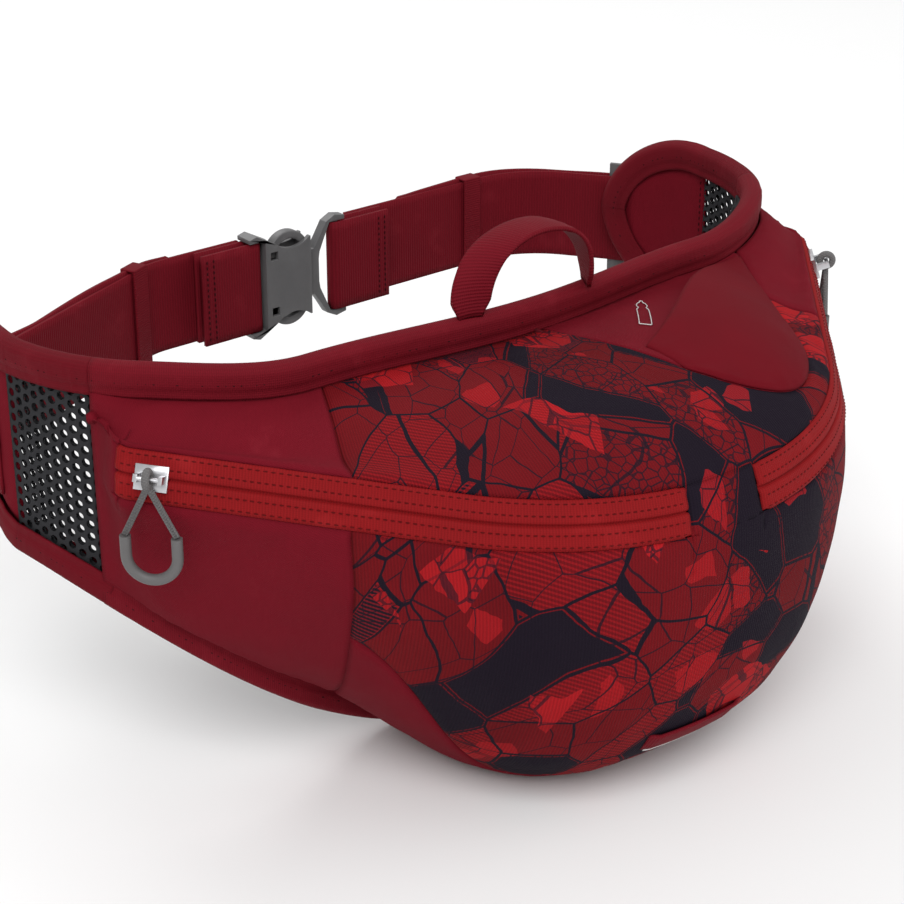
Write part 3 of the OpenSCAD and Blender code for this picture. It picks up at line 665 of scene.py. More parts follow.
def printed_cloth(name, ground, bright, dark):
    """Cloth printed with cut-stone shapes, dark patches and fine curved lines, over upright ribs"""
    p = Paint(name, Specular_IOR_Level=0.08)
    uv, place = p.coordinates("UV"), p.coordinates()
    x, y, _ = p.split(uv)
    drift, sway = p.clouds(uv, 26.0, 3.0) - 0.5, p.clouds(uv, 9.0, 1.0) - 0.5
    skewed = p.join(x + y * 0.3 + drift * 0.02, y * 0.85 - x * 0.25 + drift * 0.016)
    bent = p.join(x + sway * 0.07 + drift * 0.012, y - sway * 0.06)

    def cells(vector, scale):
        """Two random values for each cell, and the distance to the cell's edge"""
        values = {"Vector": vector, "Scale": scale}
        whole = p.node("ShaderNodeTexVoronoi", {"feature": "F1"}, values)
        rim = p.node("ShaderNodeTexVoronoi", {"feature": "DISTANCE_TO_EDGE"}, values)
        pick, other, _ = p.split(whole.outputs["Color"])
        return pick, other, Value(p, rim.outputs["Distance"])

    stone_pick, _, stone_edge = cells(skewed, 25.0)
    stone = (stone_pick > 0.66) * (stone_edge > 0.09)
    facet_pick, facet_kind, facet_edge = cells(skewed, 88.0)
    patch_pick, patch_kind, patch_edge = cells(bent, 36.0)
    net_edge = cells(uv, 260.0)[2]
    hatch = ((x * 0.8 + y) * (TURN / (1.8 * MM))).sine() > 0.2
    rest = 1.0 - stone
    base = p.mix(p.clouds(uv, 14.0, 2.0).step(0.42, 0.6) * 0.3, ground, [c * 0.45 for c in ground])
    base = p.mix(rest * (patch_pick < 0.27) * (patch_edge > 0.03), base, dark)
    base = p.mix(rest * (patch_kind > 0.8) * (net_edge < 0.06) * 0.8, base, dark)
    base = p.mix(rest * (patch_kind < 0.2) * hatch * 0.4, base, bright)
    base = p.mix(rest * (facet_pick > 0.93) * (facet_edge > 0.06) * 0.6, base, bright)
    base = p.mix(stone * (facet_pick * 0.5 + 0.55), base, bright)
    base = p.mix(stone * (facet_kind > 0.75) * hatch * 0.5, base, ground)
    base = p.mix(stone * (facet_kind < 0.22) * (net_edge < 0.09) * 0.7, base, dark)
    base = p.mix(stone * (facet_edge < 0.03) * 0.75, base, dark)
    base = p.mix((patch_edge < 0.016) * (1.0 - stone * 0.6), base, dark)
    base = p.mix(rest * (cells(bent, 62.0)[2] < 0.013) * 0.85, base, dark)
    ribs, threads = waves(x, 1.1 * MM), waves(y, 0.8 * MM)
    uneven = p.clouds(place, 60.0, 4.0)
    base = p.mix(ribs * 0.2 + uneven * 0.2, base, (0.004, 0.003, 0.005))
    return p.finish(base, uneven * 0.1 + 0.74, ribs * 0.8 + threads * 0.3, 0.15 * MM)


def stretch_cloth(name, colour):
    """A smooth fine knit"""
    p = Paint(name, Specular_IOR_Level=0.1)
    x, y, _ = p.split(p.coordinates("UV"))
    knit = waves(x, 0.6 * MM) * 0.6 + waves(y, 0.45 * MM) * 0.4
    uneven = p.clouds(p.coordinates(), 45.0, 3.0)
    return p.finish(p.tint(colour, knit * 0.3 + uneven * 0.5), uneven * 0.1 + 0.82, knit, 0.05 * MM)


def ribbed_web(name, colour, pitch=1.2 * MM, lean=0.0, depth=0.16 * MM):
    """Webbing or tape with fine ribs across it"""
    p = Paint(name, Specular_IOR_Level=0.1)
    x, y, _ = p.split(p.coordinates("UV"))
    ribs = waves(x + y.size() * lean, pitch)
    fine = waves(y, 0.7 * MM)
    uneven = p.clouds(p.coordinates(), 70.0, 4.0)
    base = p.tint(colour, ribs * 0.35 + fine * 0.15 + uneven * 0.4)
    fluff = p.mix((uneven - 0.6).most(0.0) * 1.0, base, [min(1, c * 1.9 + 0.02) for c in colour])
    return p.finish(fluff, uneven * 0.1 + 0.7, ribs * 0.8 + fine * 0.25, depth)


def spacer_mesh(name, colour, holes):
    """Open spacer mesh: a honeycomb of round holes, which are real where holes is true"""
    p = Paint(name, Specular_IOR_Level=0.15)
    x, y, _ = p.split(p.coordinates("UV"))
    turn, quarter, high = TURN / (4.0 * MM), math.pi / 2, math.sqrt(0.75)
    lines = [x * turn, (x * 0.5 + y * high) * turn, (x * 0.5 - y * high) * turn]
    net = (lines[0] + quarter).sine() + (lines[1] + quarter).sine() + (lines[2] + quarter).sine()
    strands = waves(x, 0.5 * MM) * 0.5 + waves(y, 0.5 * MM) * 0.5
    hole = net.step(-0.1, 0.5)
    uneven = p.clouds(p.coordinates(), 80.0, 3.0)
    base = p.mix(uneven * 0.5 + strands * 0.4, colour, [c * 4 + 0.01 for c in colour])
    # Painted shade: the holes, and the rims of the cut holes, are painted darker as shade falling into them
    base = p.mix(hole * 0.8, base, [c * 0.4 for c in colour])
    if holes:
        p.put(p.shader.inputs["Alpha"], 1.0 - (net > 0.15))
    return p.finish(base, uneven * 0.1 + 0.75, (1.0 - hole) * 1.0 + strands * 0.15, 0.6 * MM)


def moulded(name, colour, rough=0.42):
    """Satin moulded plastic with a fine grain and handling marks"""
    p = Paint(name, Specular_IOR_Level=0.45)
    place = p.coordinates()
    grain, marks = p.clouds(place, 2600.0, 2.0), p.clouds(place, 160.0, 5.0, 0.65)
    base = p.tint(colour, marks * 0.6 + 0.2)
    return p.finish(base, marks * 0.2 + (rough - 0.08), grain * 0.6 + marks * 0.4, 0.03 * MM)


def plated(name, colour):
    """Bright plated metal with small scuffs"""
    p = Paint(name, Metallic=1.0)
    marks = p.clouds(p.coordinates(), 420.0, 3.0)
    return p.finish(p.tint(colour, marks * 0.4 + 0.2), marks * 0.15 + 0.28)


def braid(name, colour):
    """A round braided cord"""
    p = Paint(name, Specular_IOR_Level=0.15)
    x, y, z = p.split(p.coordinates())
    strands = waves(z + x * 0.7, 1.1 * MM) * waves(z - x * 0.7 + y * 0.3, 1.1 * MM)
    uneven = p.clouds(p.coordinates(), 200.0, 3.0)
    return p.finish(p.tint(colour, strands * 0.6 + uneven * 0.4), uneven * 0.1 + 0.7, strands, 0.18 * MM)


def reflective(name, colour):
    """Silver reflective tape with a faint grid of beads"""
    p = Paint(name, Metallic=0.35, Specular_IOR_Level=0.6)
    x, y, _ = p.split(p.coordinates("UV"))
    beads = waves(x, 0.9 * MM) * waves(y, 0.9 * MM)
    uneven = p.clouds(p.coordinates(), 120.0, 3.0)
    return p.finish(p.tint(colour, beads * 0.3 + uneven * 0.4 + 0.2), uneven * 0.2 + 0.3, beads, 0.04 * MM)


def foam_cloth(name, colour):
    """Open foam or a dull lining"""
    p = Paint(name, Specular_IOR_Level=0.2)
    pores = p.clouds(p.coordinates(), 1200.0, 3.0)
    return p.finish(p.tint(colour, pores), pores * 0.1 + 0.85, pores, 0.2 * MM)


def floor_paper(name, colour):
    p = Paint(name, Specular_IOR_Level=0.2)
    return p.finish(colour, 0.85)


MATERIALS = {}


def make_materials(c):
    MATERIALS.update(
        plain=plain_cloth("Plain cloth", list(c.plain)),
        printed=printed_cloth("Printed cloth", list(c.print_base), list(c.print_bright), list(c.print_dark)),
        stretch=stretch_cloth("Stretch cloth", list(c.stretch)),
        tape=ribbed_web("Zip tape", list(c.tape), 1.0 * MM, 0.0, 0.08 * MM),
        webbing=ribbed_web("Webbing", list(c.webbing)),
        binding=ribbed_web("Binding tape", list(c.webbing), 1.3 * MM, 0.0, 0.15 * MM),
        elastic=ribbed_web("Keeper elastic", list(c.webbing), 1.0 * MM, 0.0, 0.18 * MM),
        thread=ribbed_web("Thread", list(c.thread), 0.5 * MM, 1.0, 0.05 * MM),
        tape_thread=ribbed_web("Zip thread", [x * 0.45 for x in c.tape], 0.5 * MM, 1.0, 0.05 * MM),
        tack=ribbed_web("Bartack thread", list(c.tack), 0.6 * MM, 0.0, 0.2 * MM),
        mesh=spacer_mesh("Spacer mesh", list(c.mesh), False),
        net=spacer_mesh("Open mesh", list(c.mesh), True),
        foam=foam_cloth("Foam", [x * 2 for x in c.mesh]),
        lining=foam_cloth("Lining", [x * 0.6 for x in c.plain]),
        plastic=moulded("Satin plastic", list(c.plastic)),
        coil=moulded("Zip coil", [x * 0.6 for x in c.tape]),
        grip=moulded("Pull grip", list(c.grip), 0.5),
        steel=plated("Slider metal", list(c.steel)),
        cord=braid("Pull cord", list(c.cord)),
        silver=reflective("Reflective tape", list(c.silver)),
        floor=floor_paper("Floor", list(c.floor)),
    )


# ---- the bag's panels ----


def bag_patch(bm, u0, u1, rows, across, along, lift=0.0, open_edges=""):
    """Adds cloth between two columns, from rows(u)'s top to its low row. Its sewn edges dip and pucker.
    Those that open_edges names, out of l, r, t and b, run on into more of the same cloth."""
    f = form()

    def place(s, t):
        u = lerp(u0, u1, s)
        top, low = rows(u)
        row = lerp(low, top, t)
        from_edge = {
            "l": abs(f.across(u) - f.across(u0)),
            "r": abs(f.across(u1) - f.across(u)),
            "t": f.down(u, row) - f.down(u, top),
            "b": f.down(u, low) - f.down(u, row),
        }
        far = max(0.0, min([1.0] + [gap for edge, gap in from_edge.items() if edge not in open_edges]))
        x, y = f.across(u), -f.down(u, row)
        dip = -0.9 * MM * hump(far, 1.8 * MM)
        pucker = 0.45 * MM * ripple((x + y * 0.3) / (6 * MM), (y - x * 0.3) / (6 * MM))
        pucker = pucker * math.exp(-far / (9 * MM)) * ease(far / (1.5 * MM))
        soft = 0.5 * MM * ripple(x / (24 * MM), y / (16 * MM), 3.0) * ease(far / (12 * MM))
        extra = lift(u, row) if callable(lift) else lift
        p = f.bag(u, row, dip + pucker + soft + extra)
        p.z = max(p.z, LIFT)
        return p, (x, y)

    return grid(bm, across, along, place)


def top_rows(u):
    f = form()
    return (max(0.0, f.sleeve_low(u)), f.ZIP_TOP)


class PACK_OT_bag(Operator):
    """Sew the bag's printed and plain panels"""

    bl_idname = "waist_pack.bag"
    bl_label = "Bag panels"

    def execute(self, context):
        f = form()
        wall = f.z.panel_thickness * 0.8
        left, right = -f.seam_u, f.seam_u
        sleeve = f.u_of(0.5)
        bm = bmesh.new()
        bag_patch(bm, left, sleeve, lambda u: (0, f.ZIP_TOP), 70, 22, 0, "r")
        bag_patch(bm, sleeve, right, top_rows, 60, 22, 0, "l")
        piece("upper_front_panel", bm, "pack", "printed", ["upper_front_panel"], wall)
        bm = bmesh.new()
        a, b = f.left_zip_u, f.right_zip_u
        bag_patch(bm, left, a, lambda u: (f.ZIP_LOW, f.print_low(u)), 52, 44, 0, "r")
        bag_patch(bm, a, b, lambda u: (f.ZIP_LOW, f.print_low(u)), 20, 44, 0, "lrt")
        bag_patch(bm, b, right, lambda u: (f.ZIP_LOW, f.print_low(u)), 52, 44, 0, "l")
        bag_patch(bm, a, b, lambda u: (f.ZIP_TOP, f.ZIP_LOW), 20, 10, 0, "b")
        piece("lower_front_panel", bm, "pack", "printed", ["lower_front_panel"], wall)
        bm = bmesh.new()
        bag_patch(bm, left, right, lambda u: (f.print_low(u), f.ROWS), 100, 24)
        piece("bottom_panel", bm, "pack", "plain", ["bottom_panel"], wall)
        for name, s in (("left", -1), ("right", 1)):
            bm = bmesh.new()
            spans = [(f.seam_u, f.zip_end_u, 44), (f.zip_end_u, 1.0, 10)]
            for k, (a, b, n) in enumerate(spans):
                u0, u1 = (a, b) if s > 0 else (-b, -a)
                inner = "r" if (s > 0) == (k == 0) else "l"
                upper = top_rows if s > 0 else (lambda u: (0, f.ZIP_TOP))
                bag_patch(bm, u0, u1, upper, n, 24, 0, inner + ("b" if k else ""))
                bag_patch(bm, u0, u1, lambda u: (f.ZIP_LOW, f.ROWS), n, 56, 0, inner + ("t" if k else ""))
                if k:
                    bag_patch(bm, u0, u1, lambda u: (f.ZIP_TOP, f.ZIP_LOW), n, 8, 0, "tb")
            piece("side_panel_" + name, bm, "pack", "plain", ["side_panel_" + name], wall)
        return {"FINISHED"}


class PACK_OT_sleeve(Operator):
    """Make the bottle sleeve, its backing and its bottle mark"""

    bl_idname = "waist_pack.sleeve"
    bl_label = "Bottle sleeve"

    def execute(self, context):
        f = form()
        u0, u1 = f.u_of(0.5), f.u_of(14.29)
        bm = bmesh.new()
        bag_patch(bm, u0, u1, lambda u: (0, f.sleeve_low(u)), 90, 24)
        wall = f.z.panel_thickness * 0.8
        piece("sleeve_backing", bm, "pack", "plain", ["sleeve_backing"], wall)
        a, b = f.u_of(2.0), f.u_of(13.9)

        def mouth(u):
            return (min(f.sleeve_mouth(u), f.sleeve_low(u)), f.sleeve_low(u))

        def gape(u, row):
            top, low = mouth(u)
            c = clamp((u - a) / (b - a))
            d = clamp((row - top) / max(0.3, low - top))
            return 0.9 * MM + f.z.sleeve_gape * 0.75 * math.sin(math.pi * c) ** 1.2 * (1 - d**1.6)

        bm = bmesh.new()
        bag_patch(bm, a, b, mouth, 90, 34, gape, "t")
        piece("bottle_sleeve", bm, "pack", "stretch", ["bottle_sleeve"], 1.2 * MM)
        middle, row = f.u_of(4.8), 1.4
        per_u, per_row = 1 / f.arc[-1], 3 / f.down(middle, 3)
        body = [(-2.4, -7), (-2.4, 1.6), (-1.5, 2.7), (-2.3, 3.8), (-1.6, 5.4), (-0.7, 5.9), (-0.6, 6.9)]
        path = [Vector((x, y, 0)) for x, y in body + [(-x, y) for x, y in reversed(body)]]
        path = resample(path + path[:1], 0.5)
        lean, tall = math.radians(62), 2.5
        sine, cosine = math.sin(lean), math.cos(lean)
        turned = [(p.x * cosine + p.y * tall * sine, p.y * tall * cosine - p.x * sine) for p in path]
        path = [f.bag(middle + x * MM * per_u, row - y * MM * per_row, 0.35 * MM) for x, y in turned]
        bm = bmesh.new()
        tube(bm, path, 0.22 * MM, 6)
        piece("bottle_mark", bm, "pack", "silver")
        return {"FINISHED"}


def tube(bm, path, radius, sides=8):
    """Adds a round tube with closed ends along a path of points"""
    n = len(path)
    rings = []
    up = Vector((0, 0, 1))
    for i, p in enumerate(path):
        along = (path[min(n - 1, i + 1)] - path[max(0, i - 1)]).normalized()
        x = up.cross(along)
        if x.length < 1e-4:
            x = Vector((1, 0, 0)).cross(along)
        x.normalize()
        turn = Matrix((x, along.cross(x), along)).transposed().to_4x4()
        where = Matrix.Translation(p) @ turn
        rings.append(bmesh.ops.create_circle(bm, segments=sides, radius=radius, matrix=where)["verts"])
        up = along.cross(x)

    def edges_of(ring):
        return [e for e in {e for v in ring for e in v.link_edges} if all(v in ring for v in e.verts)]

    for a, b in zip(rings, rings[1:]):
        bmesh.ops.bridge_loops(bm, edges=edges_of(a) + edges_of(b))
    for ring in (rings[0], rings[-1]):
        bmesh.ops.holes_fill(bm, edges=edges_of(ring), sides=sides)
    bmesh.ops.recalc_face_normals(bm, faces=bm.faces)
    for face in bm.faces:
        face.smooth = True


class PACK_OT_zips(Operator):
    """Make the zip tapes with their stitch rows, and the coils behind them"""

    bl_idname = "waist_pack.zips"
    bl_label = "Zips"

    def execute(self, context):
        f = form()
        w = f.z.tape_width
        for name, s in (("left", -1), ("right", 1)):
            u0, u1 = (f.right_zip_u if s > 0 else -f.left_zip_u), f.zip_end_u

            def place(p, t, s=s, u0=u0, u1=u1):
                a = lerp(u0, u1, p if s > 0 else 1 - p)
                row = lerp(f.ZIP_LOW, f.ZIP_TOP, t)
                mid = abs(t - 0.5) * w
                end = min(f.across(a) - f.across(u0), 1.0)
                corner = max(0.0, 2.5 * MM - min(end, w / 2 - mid)) if end < 2.5 * MM else 0.0
                cord = 0.35 * MM * hump(mid - 2.2 * MM, 1.6 * MM)
                slit = -1.3 * MM * hump(mid, 0.45 * MM)
                edge = -0.7 * MM * hump(w / 2 - mid, 0.9 * MM)
                lap = 0.5 * MM * ease((w / 2 - mid) / (1.2 * MM)) - 0.4 * corner
                wave = 0.25 * MM * ripple(f.across(a) / (14 * MM), t * 2, s * 7.0)
                return f.bag(s * a, row, cord + slit + edge + lap + wave), (s * f.across(a), (t - 0.5) * w)

            bm = bmesh.new()
            grid(bm, 180, 44, place)
            piece("zip_tape_" + name, bm, "pack", "tape", ["zip_tape_" + name], 1.2 * MM)
            bm = bmesh.new()
            n = 90
            coil_row, edge_row = 3.1 * MM / w, 1.5 * MM / w
            rows = (0.5 - coil_row, 2.4), (0.5 + coil_row, 2.4), (edge_row, 2.6), (1 - edge_row, 2.6)
            for t, pitch in rows:
                line = [place(lerp(0.01, 0.99, k / n), t)[0] for k in range(n + 1)]
                sew(bm, line, lambda x, t=t: self.out(f, s, x, t), pitch * MM, 0.28 * MM)
            piece("zip_stitches_" + name, bm, "pack", "tape_thread", (), merge=0)
            bm = bmesh.new()
            deep = -f.z.panel_thickness - 1.0 * MM
            coil = [f.bag(s * lerp(u0, u1, k / 120), f.ZIP_MID, deep) for k in range(121)]
            tube(bm, coil, 0.8 * MM, 8)
            piece("zip_coil_" + name, bm, "pack", "coil", ["zip_coil_" + name])
        return {"FINISHED"}

    def out(self, f, s, x, t):
        u = lerp(f.gap_u, f.zip_end_u, x)
        return f.normal(s * u, lerp(f.ZIP_LOW, f.ZIP_TOP, t))


class PACK_OT_divider(Operator):
    """Make the wall between the two pockets"""

    bl_idname = "waist_pack.divider"
    bl_label = "Pocket divider"

    def execute(self, context):
        f = form()
        y = f.z.face - 0.4 * MM

        def place(s, t):
            front = f.bag(0.0, lerp(f.ROWS, 0, t), -f.z.panel_thickness - 0.6 * MM)
            front.y = min(front.y, y)
            p = front.lerp(Vector((0, y, front.z)), s)
            p.x = 0.6 * MM * ripple(p.y / (20 * MM), p.z / (20 * MM))
            return p, (p.y, p.z)

        bm = bmesh.new()
        grid(bm, 30, 44, place)
        piece("pocket_divider", bm, "pack", "lining", ["pocket_divider"], 1.2 * MM, 0.0)
        return {"FINISHED"}


# ---- the back panel and wings ----


def edge_fold(path, n):
    """The place function of a binding tape folded over an edge, for a grid n cells long.
    path(s) gives the edge's run and height, and the direction into the sheet."""
    f = form()
    b, t0 = f.z.binding_width, f.z.binding

    def place(s, t):
        w, z, iw, iz = path(s)
        x = 2 * t - 1
        d = (b + 1.2 * MM) * abs(x) ** 1.15
        full = t0 / 2 * min(1.0, d / (1.8 * MM)) ** 0.5
        raised = 0.7 * MM * ease(d / (1.5 * MM)) * (1 - ease((d - 6.7 * MM) / (0.8 * MM)))
        pucker = 0.22 * MM * ripple(s * n * 0.9, x * 1.5, 5.0) * ease(d / (3 * MM))
        p = f.loop(w + iw * d, -t0 / 2 + math.copysign(full + raised + pucker, x), z + iz * d)
        p.z = max(p.z, LIFT)
        return p, (s * n * 4 * MM, x * b)

    return place


def fold_tape(name, nodes, path, n):
    """Makes one binding tape and the stitch row on each of its faces"""
    f = form()
    b, t0 = f.z.binding_width, f.z.binding
    bm = bmesh.new()
    grid(bm, n, 24, edge_fold(path, n))
    piece(name, bm, "pack", "binding", nodes, 0.9 * MM)
    bm = bmesh.new()
    for side in (1, -1):
        line, outs = [], []
        for k in range(n + 1):
            w, z, iw, iz = path(k / n)
            d = 5.6 * MM
            line.append(f.loop(w + iw * d, -t0 / 2 + side * (t0 / 2 + 1.25 * MM), z + iz * d))
            outs.append(f.outward(w) * side)
        sew(bm, line, lambda x: outs[min(n, int(x * n))], f.z.stitch, 0.42 * MM)
    piece(name + "_stitches", bm, "pack", "thread", (), merge=0)


class PACK_OT_binding(Operator):
    """Fold the binding tapes over the edges of the back panel and wings"""

    bl_idname = "waist_pack.binding"
    bl_label = "Bindings"

    def execute(self, context):
        f = form()
        end = f.z.mesh_from

        def edge_path(height, way, inward):
            def path(s):
                w = lerp(-way * end, way * end, s)
                return w, height(abs(w)), 0, inward

            return path

        fold_tape("binding_top", ["binding_top"], edge_path(f.edge_top, 1, -1), 150)
        fold_tape("binding_bottom", ["binding_bottom"], edge_path(f.edge_low, -1, 1), 150)
        for name, side in (("left", -1), ("right", 1)):
            fold_tape("binding_wing_" + name, ["binding_wing_" + name], self.wing(f, side), 150)
        return {"FINISHED"}

    def wing(self, f, side):
        """The wing's edge: along the top, round the tip and back, so that the tape's outside stays out"""
        straight = f.z.tip_from - f.z.mesh_from
        around = f.z.wing_run - f.z.tip_from

        def edge(x):
            if x < 0.25:
                a = f.z.mesh_from + straight * x / 0.25
                return a, f.edge_top(a)
            if x > 0.75:
                a = f.z.mesh_from + straight * (1 - x) / 0.25
                return a, f.edge_low(a)
            g = math.pi * (x - 0.25) / 0.5
            a = f.z.tip_from + around * math.sin(g)
            half = (f.edge_top(f.z.tip_from) - f.z.wing_low) / 2 * abs(math.cos(g)) ** 1.15
            return a, f.tip_mid(a) + math.copysign(half, math.cos(g))

        def path(s):
            x = s if side > 0 else 1 - s
            (a0, z0), (a1, z1), (a, z) = edge(max(0, x - 0.012)), edge(min(1, x + 0.012)), edge(x)
            along = Vector((a1 - a0, z1 - z0)).normalized()
            inward = Vector((along.y, -along.x))
            return side * a, z, side * inward.x, inward.y

        return path


class PACK_OT_back(Operator):
    """Make the back panel's foam and quilted spacer mesh"""

    bl_idname = "waist_pack.back"
    bl_label = "Back panel"

    def execute(self, context):
        f = form()
        end, b = f.z.mesh_from, f.z.binding_width - 1.5 * MM

        def sheet(off, back):
            def place(s, t):
                w = lerp(-end, end, 1 - s if back else s)
                a = abs(w)
                low, top = f.edge_low(a) + b, f.edge_top(a) - b
                z = lerp(low, top, t)
                d = min(z - low, top - z)
                quilt = 0.0
                if back:
                    upright = hump(a - 0.055, 3 * MM) + hump(a - 0.110, 3 * MM)
                    quilt = 1.6 * MM * (upright + hump(z - 0.080, 3 * MM) * (a < 0.055))
                    quilt += 2.2 * MM * (1 - ease(d / (9 * MM)))
                return f.loop(w, off + quilt, z), (w, z)

            return place

        bm = bmesh.new()
        grid(bm, 120, 50, sheet(-0.5 * MM, False))
        piece("back_foam", bm, "pack", "foam", ["back_foam"], f.z.foam - 2.6 * MM)
        bm = bmesh.new()
        grid(bm, 240, 100, sheet(-f.z.foam - f.z.mesh, True))
        obj = piece("back_mesh", bm, "pack", "mesh", ["back_mesh"], 1.8 * MM)
        return {"FINISHED"}


class PACK_OT_wings(Operator):
    """Make the wings' open mesh and their padded tips"""

    bl_idname = "waist_pack.wings"
    bl_label = "Wings"

    def execute(self, context):
        f = form()
        lap = 1.5 * MM
        for name, side in (("left", -1), ("right", 1)):
            b = f.z.binding_width - lap

            def level(a, t):
                return lerp(f.low_z(a) + b, f.top_z(a) - b, t)

            bm = bmesh.new()
            for off, flip in ((-0.8 * MM, False), (-f.z.mesh + 0.3 * MM, True)):

                def place(s, t, off=off, flip=flip, side=side):
                    a = lerp(f.z.mesh_from + 0.5 * MM, f.z.mesh_end + lap, s if (side > 0) != flip else 1 - s)
                    return f.loop(side * a, off, level(a, t)), (a, level(a, t))

                grid(bm, 16, 40, place)
            net, pad = "wing_mesh_" + name, "wing_tip_" + name
            piece(net, bm, "pack", "net", [net], 0.3 * MM, merge=0)
            pad_end = f.z.wing_run - f.z.binding_width + lap
            bm = bmesh.new()
            for out, flip in ((1, False), (-1, True)):

                def place(s, t, out=out, flip=flip, side=side):
                    k = s if (side > 0) != flip else 1 - s
                    a = lerp(f.z.mesh_end, pad_end, k)
                    room = min(b, 0.45 * (f.top_z(a) - f.low_z(a)))
                    low, top = f.low_z(a) + room, f.top_z(a) - room
                    z = lerp(low, top, t)
                    d = min(a - f.z.mesh_end, pad_end - a, z - low, top - z)
                    fat = f.z.tip / 2 * (0.12 + 0.88 * ease(clamp(d / (9 * MM))) ** 0.6)
                    fat += 0.35 * MM * ripple(a / (13 * MM), z / (13 * MM), out * 4.0) * ease(d / (6 * MM))
                    return f.loop(side * a, -f.z.tip / 2 + out * fat, z), (a, z)

                grid(bm, 34, 44, place)
            obj = piece(pad, bm, "pack", "plain", [pad], merge=0.9 * MM)
            bm = bmesh.new()
            a0 = f.z.mesh_end + 2.2 * MM
            for off, out in ((-0.2 * MM, 1), (-f.z.tip + 0.2 * MM, -1)):
                line = [f.loop(side * a0, off - out * 1.2 * MM, level(a0, k / 40)) for k in range(41)]
                sew(bm, line, lambda x, out=out: f.outward(side * a0) * out, f.z.stitch, 0.3 * MM)
            piece("wing_stitches_" + name, bm, "pack", "thread", (), merge=0)
        return {"FINISHED"}


# ---- handle and trim ----


class PACK_OT_handle(Operator):
    """Make the grab handle and its bartacks"""

    bl_idname = "waist_pack.handle"
    bl_label = "Grab handle"

    def execute(self, context):
        f = form()
        y, z0 = f.z.face + f.z.binding / 2, f.z.bag_height + 0.4 * MM
        half, w = f.z.handle_span / 2 - 0.8 * MM, f.z.handle_width
        rise = f.z.handle_rise + w / 2 - 0.8 * MM
        path = []
        for k in range(61):
            g = math.pi * (1 - k / 60)
            path.append(Vector((half * math.cos(g), y, z0 + 0.3 * MM + rise * math.sin(g) ** 0.72)))
        path = resample(path, 2.0 * MM)

        def place(s, t):
            x = s * (len(path) - 1)
            i = min(len(path) - 2, int(x + 1e-6))
            p = path[i].lerp(path[i + 1], x - i)
            along = clamp(x / (len(path) - 1))
            turn = -math.radians(lerp(12, 90, ease(along / 0.55)) + 28 * ease((along - 0.62) / 0.38))
            end = clamp((p.z - z0) / (7 * MM))
            wide = w * lerp(0.62, 1.0, ease(end))
            aim = Vector((math.cos(turn), math.sin(turn), 0))
            curl = Vector((0, 0, -0.5 * MM * (2 * t - 1) ** 2))
            return p + aim * ((t - 0.5) * wide) + curl, (x * 2 * MM, (t - 0.5) * w)

        bm = bmesh.new()
        grid(bm, len(path) - 1, 12, place)
        obj = piece("grab_handle", bm, "", "webbing", ["grab_handle"], 1.5 * MM, 0.0)
        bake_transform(obj)
        bm = bmesh.new()
        for s in (-1, 1):
            w0 = s * f.z.handle_span / 2
            z = f.z.bag_height - f.z.binding_width / 2
            for k in range(9):
                rung = z + lerp(-2.4, 2.4, k / 8) * MM
                line = [f.loop(w0 + lerp(-4, 4, j / 4) * MM, 0.75 * MM, rung) for j in range(5)]
                sew(bm, line, lambda x: Vector((0, -1, 0)), 4 * MM, 0.34 * MM, 0.98)
        piece("handle_bartacks", bm, "pack", "tack", ["handle_bartacks"], merge=0)
        return {"FINISHED"}


class PACK_OT_light_loop(Operator):
    """Make the slotted loop for a lamp, with its reflective tab"""

    bl_idname = "waist_pack.light_loop"
    bl_label = "Lamp loop"

    def execute(self, context):
        f = form()
        u0, u1 = f.u_of(-2.6), f.u_of(1.9)
        for name, material, slot, r0, r1, rise, wall in (
            ("light_loop", "webbing", "webbing", 17.0, 17.55, 1.6, 1.0),
            ("light_loop_tab", "silver", "webbing", 17.35, 17.7, 0.9, 0.4),
        ):
            bm = bmesh.new()
            whole = name == "light_loop"

            def place(s, t):
                u, row = lerp(u0, u1, s if whole else lerp(0.05, 0.7, s)), lerp(r1, r0, t)
                lift = rise * MM * min(1.0, 3.5 * math.sin(math.pi * s)) * (0.5 + 0.5 * t)
                return f.bag(u, row, 0.3 * MM + lift), (f.across(u), -f.down(u, row))

            grid(bm, 30, 6, place)
            piece(name, bm, "pack", material, [name] if whole else (), wall * MM)
        return {"FINISHED"}


# ---- the belt ----


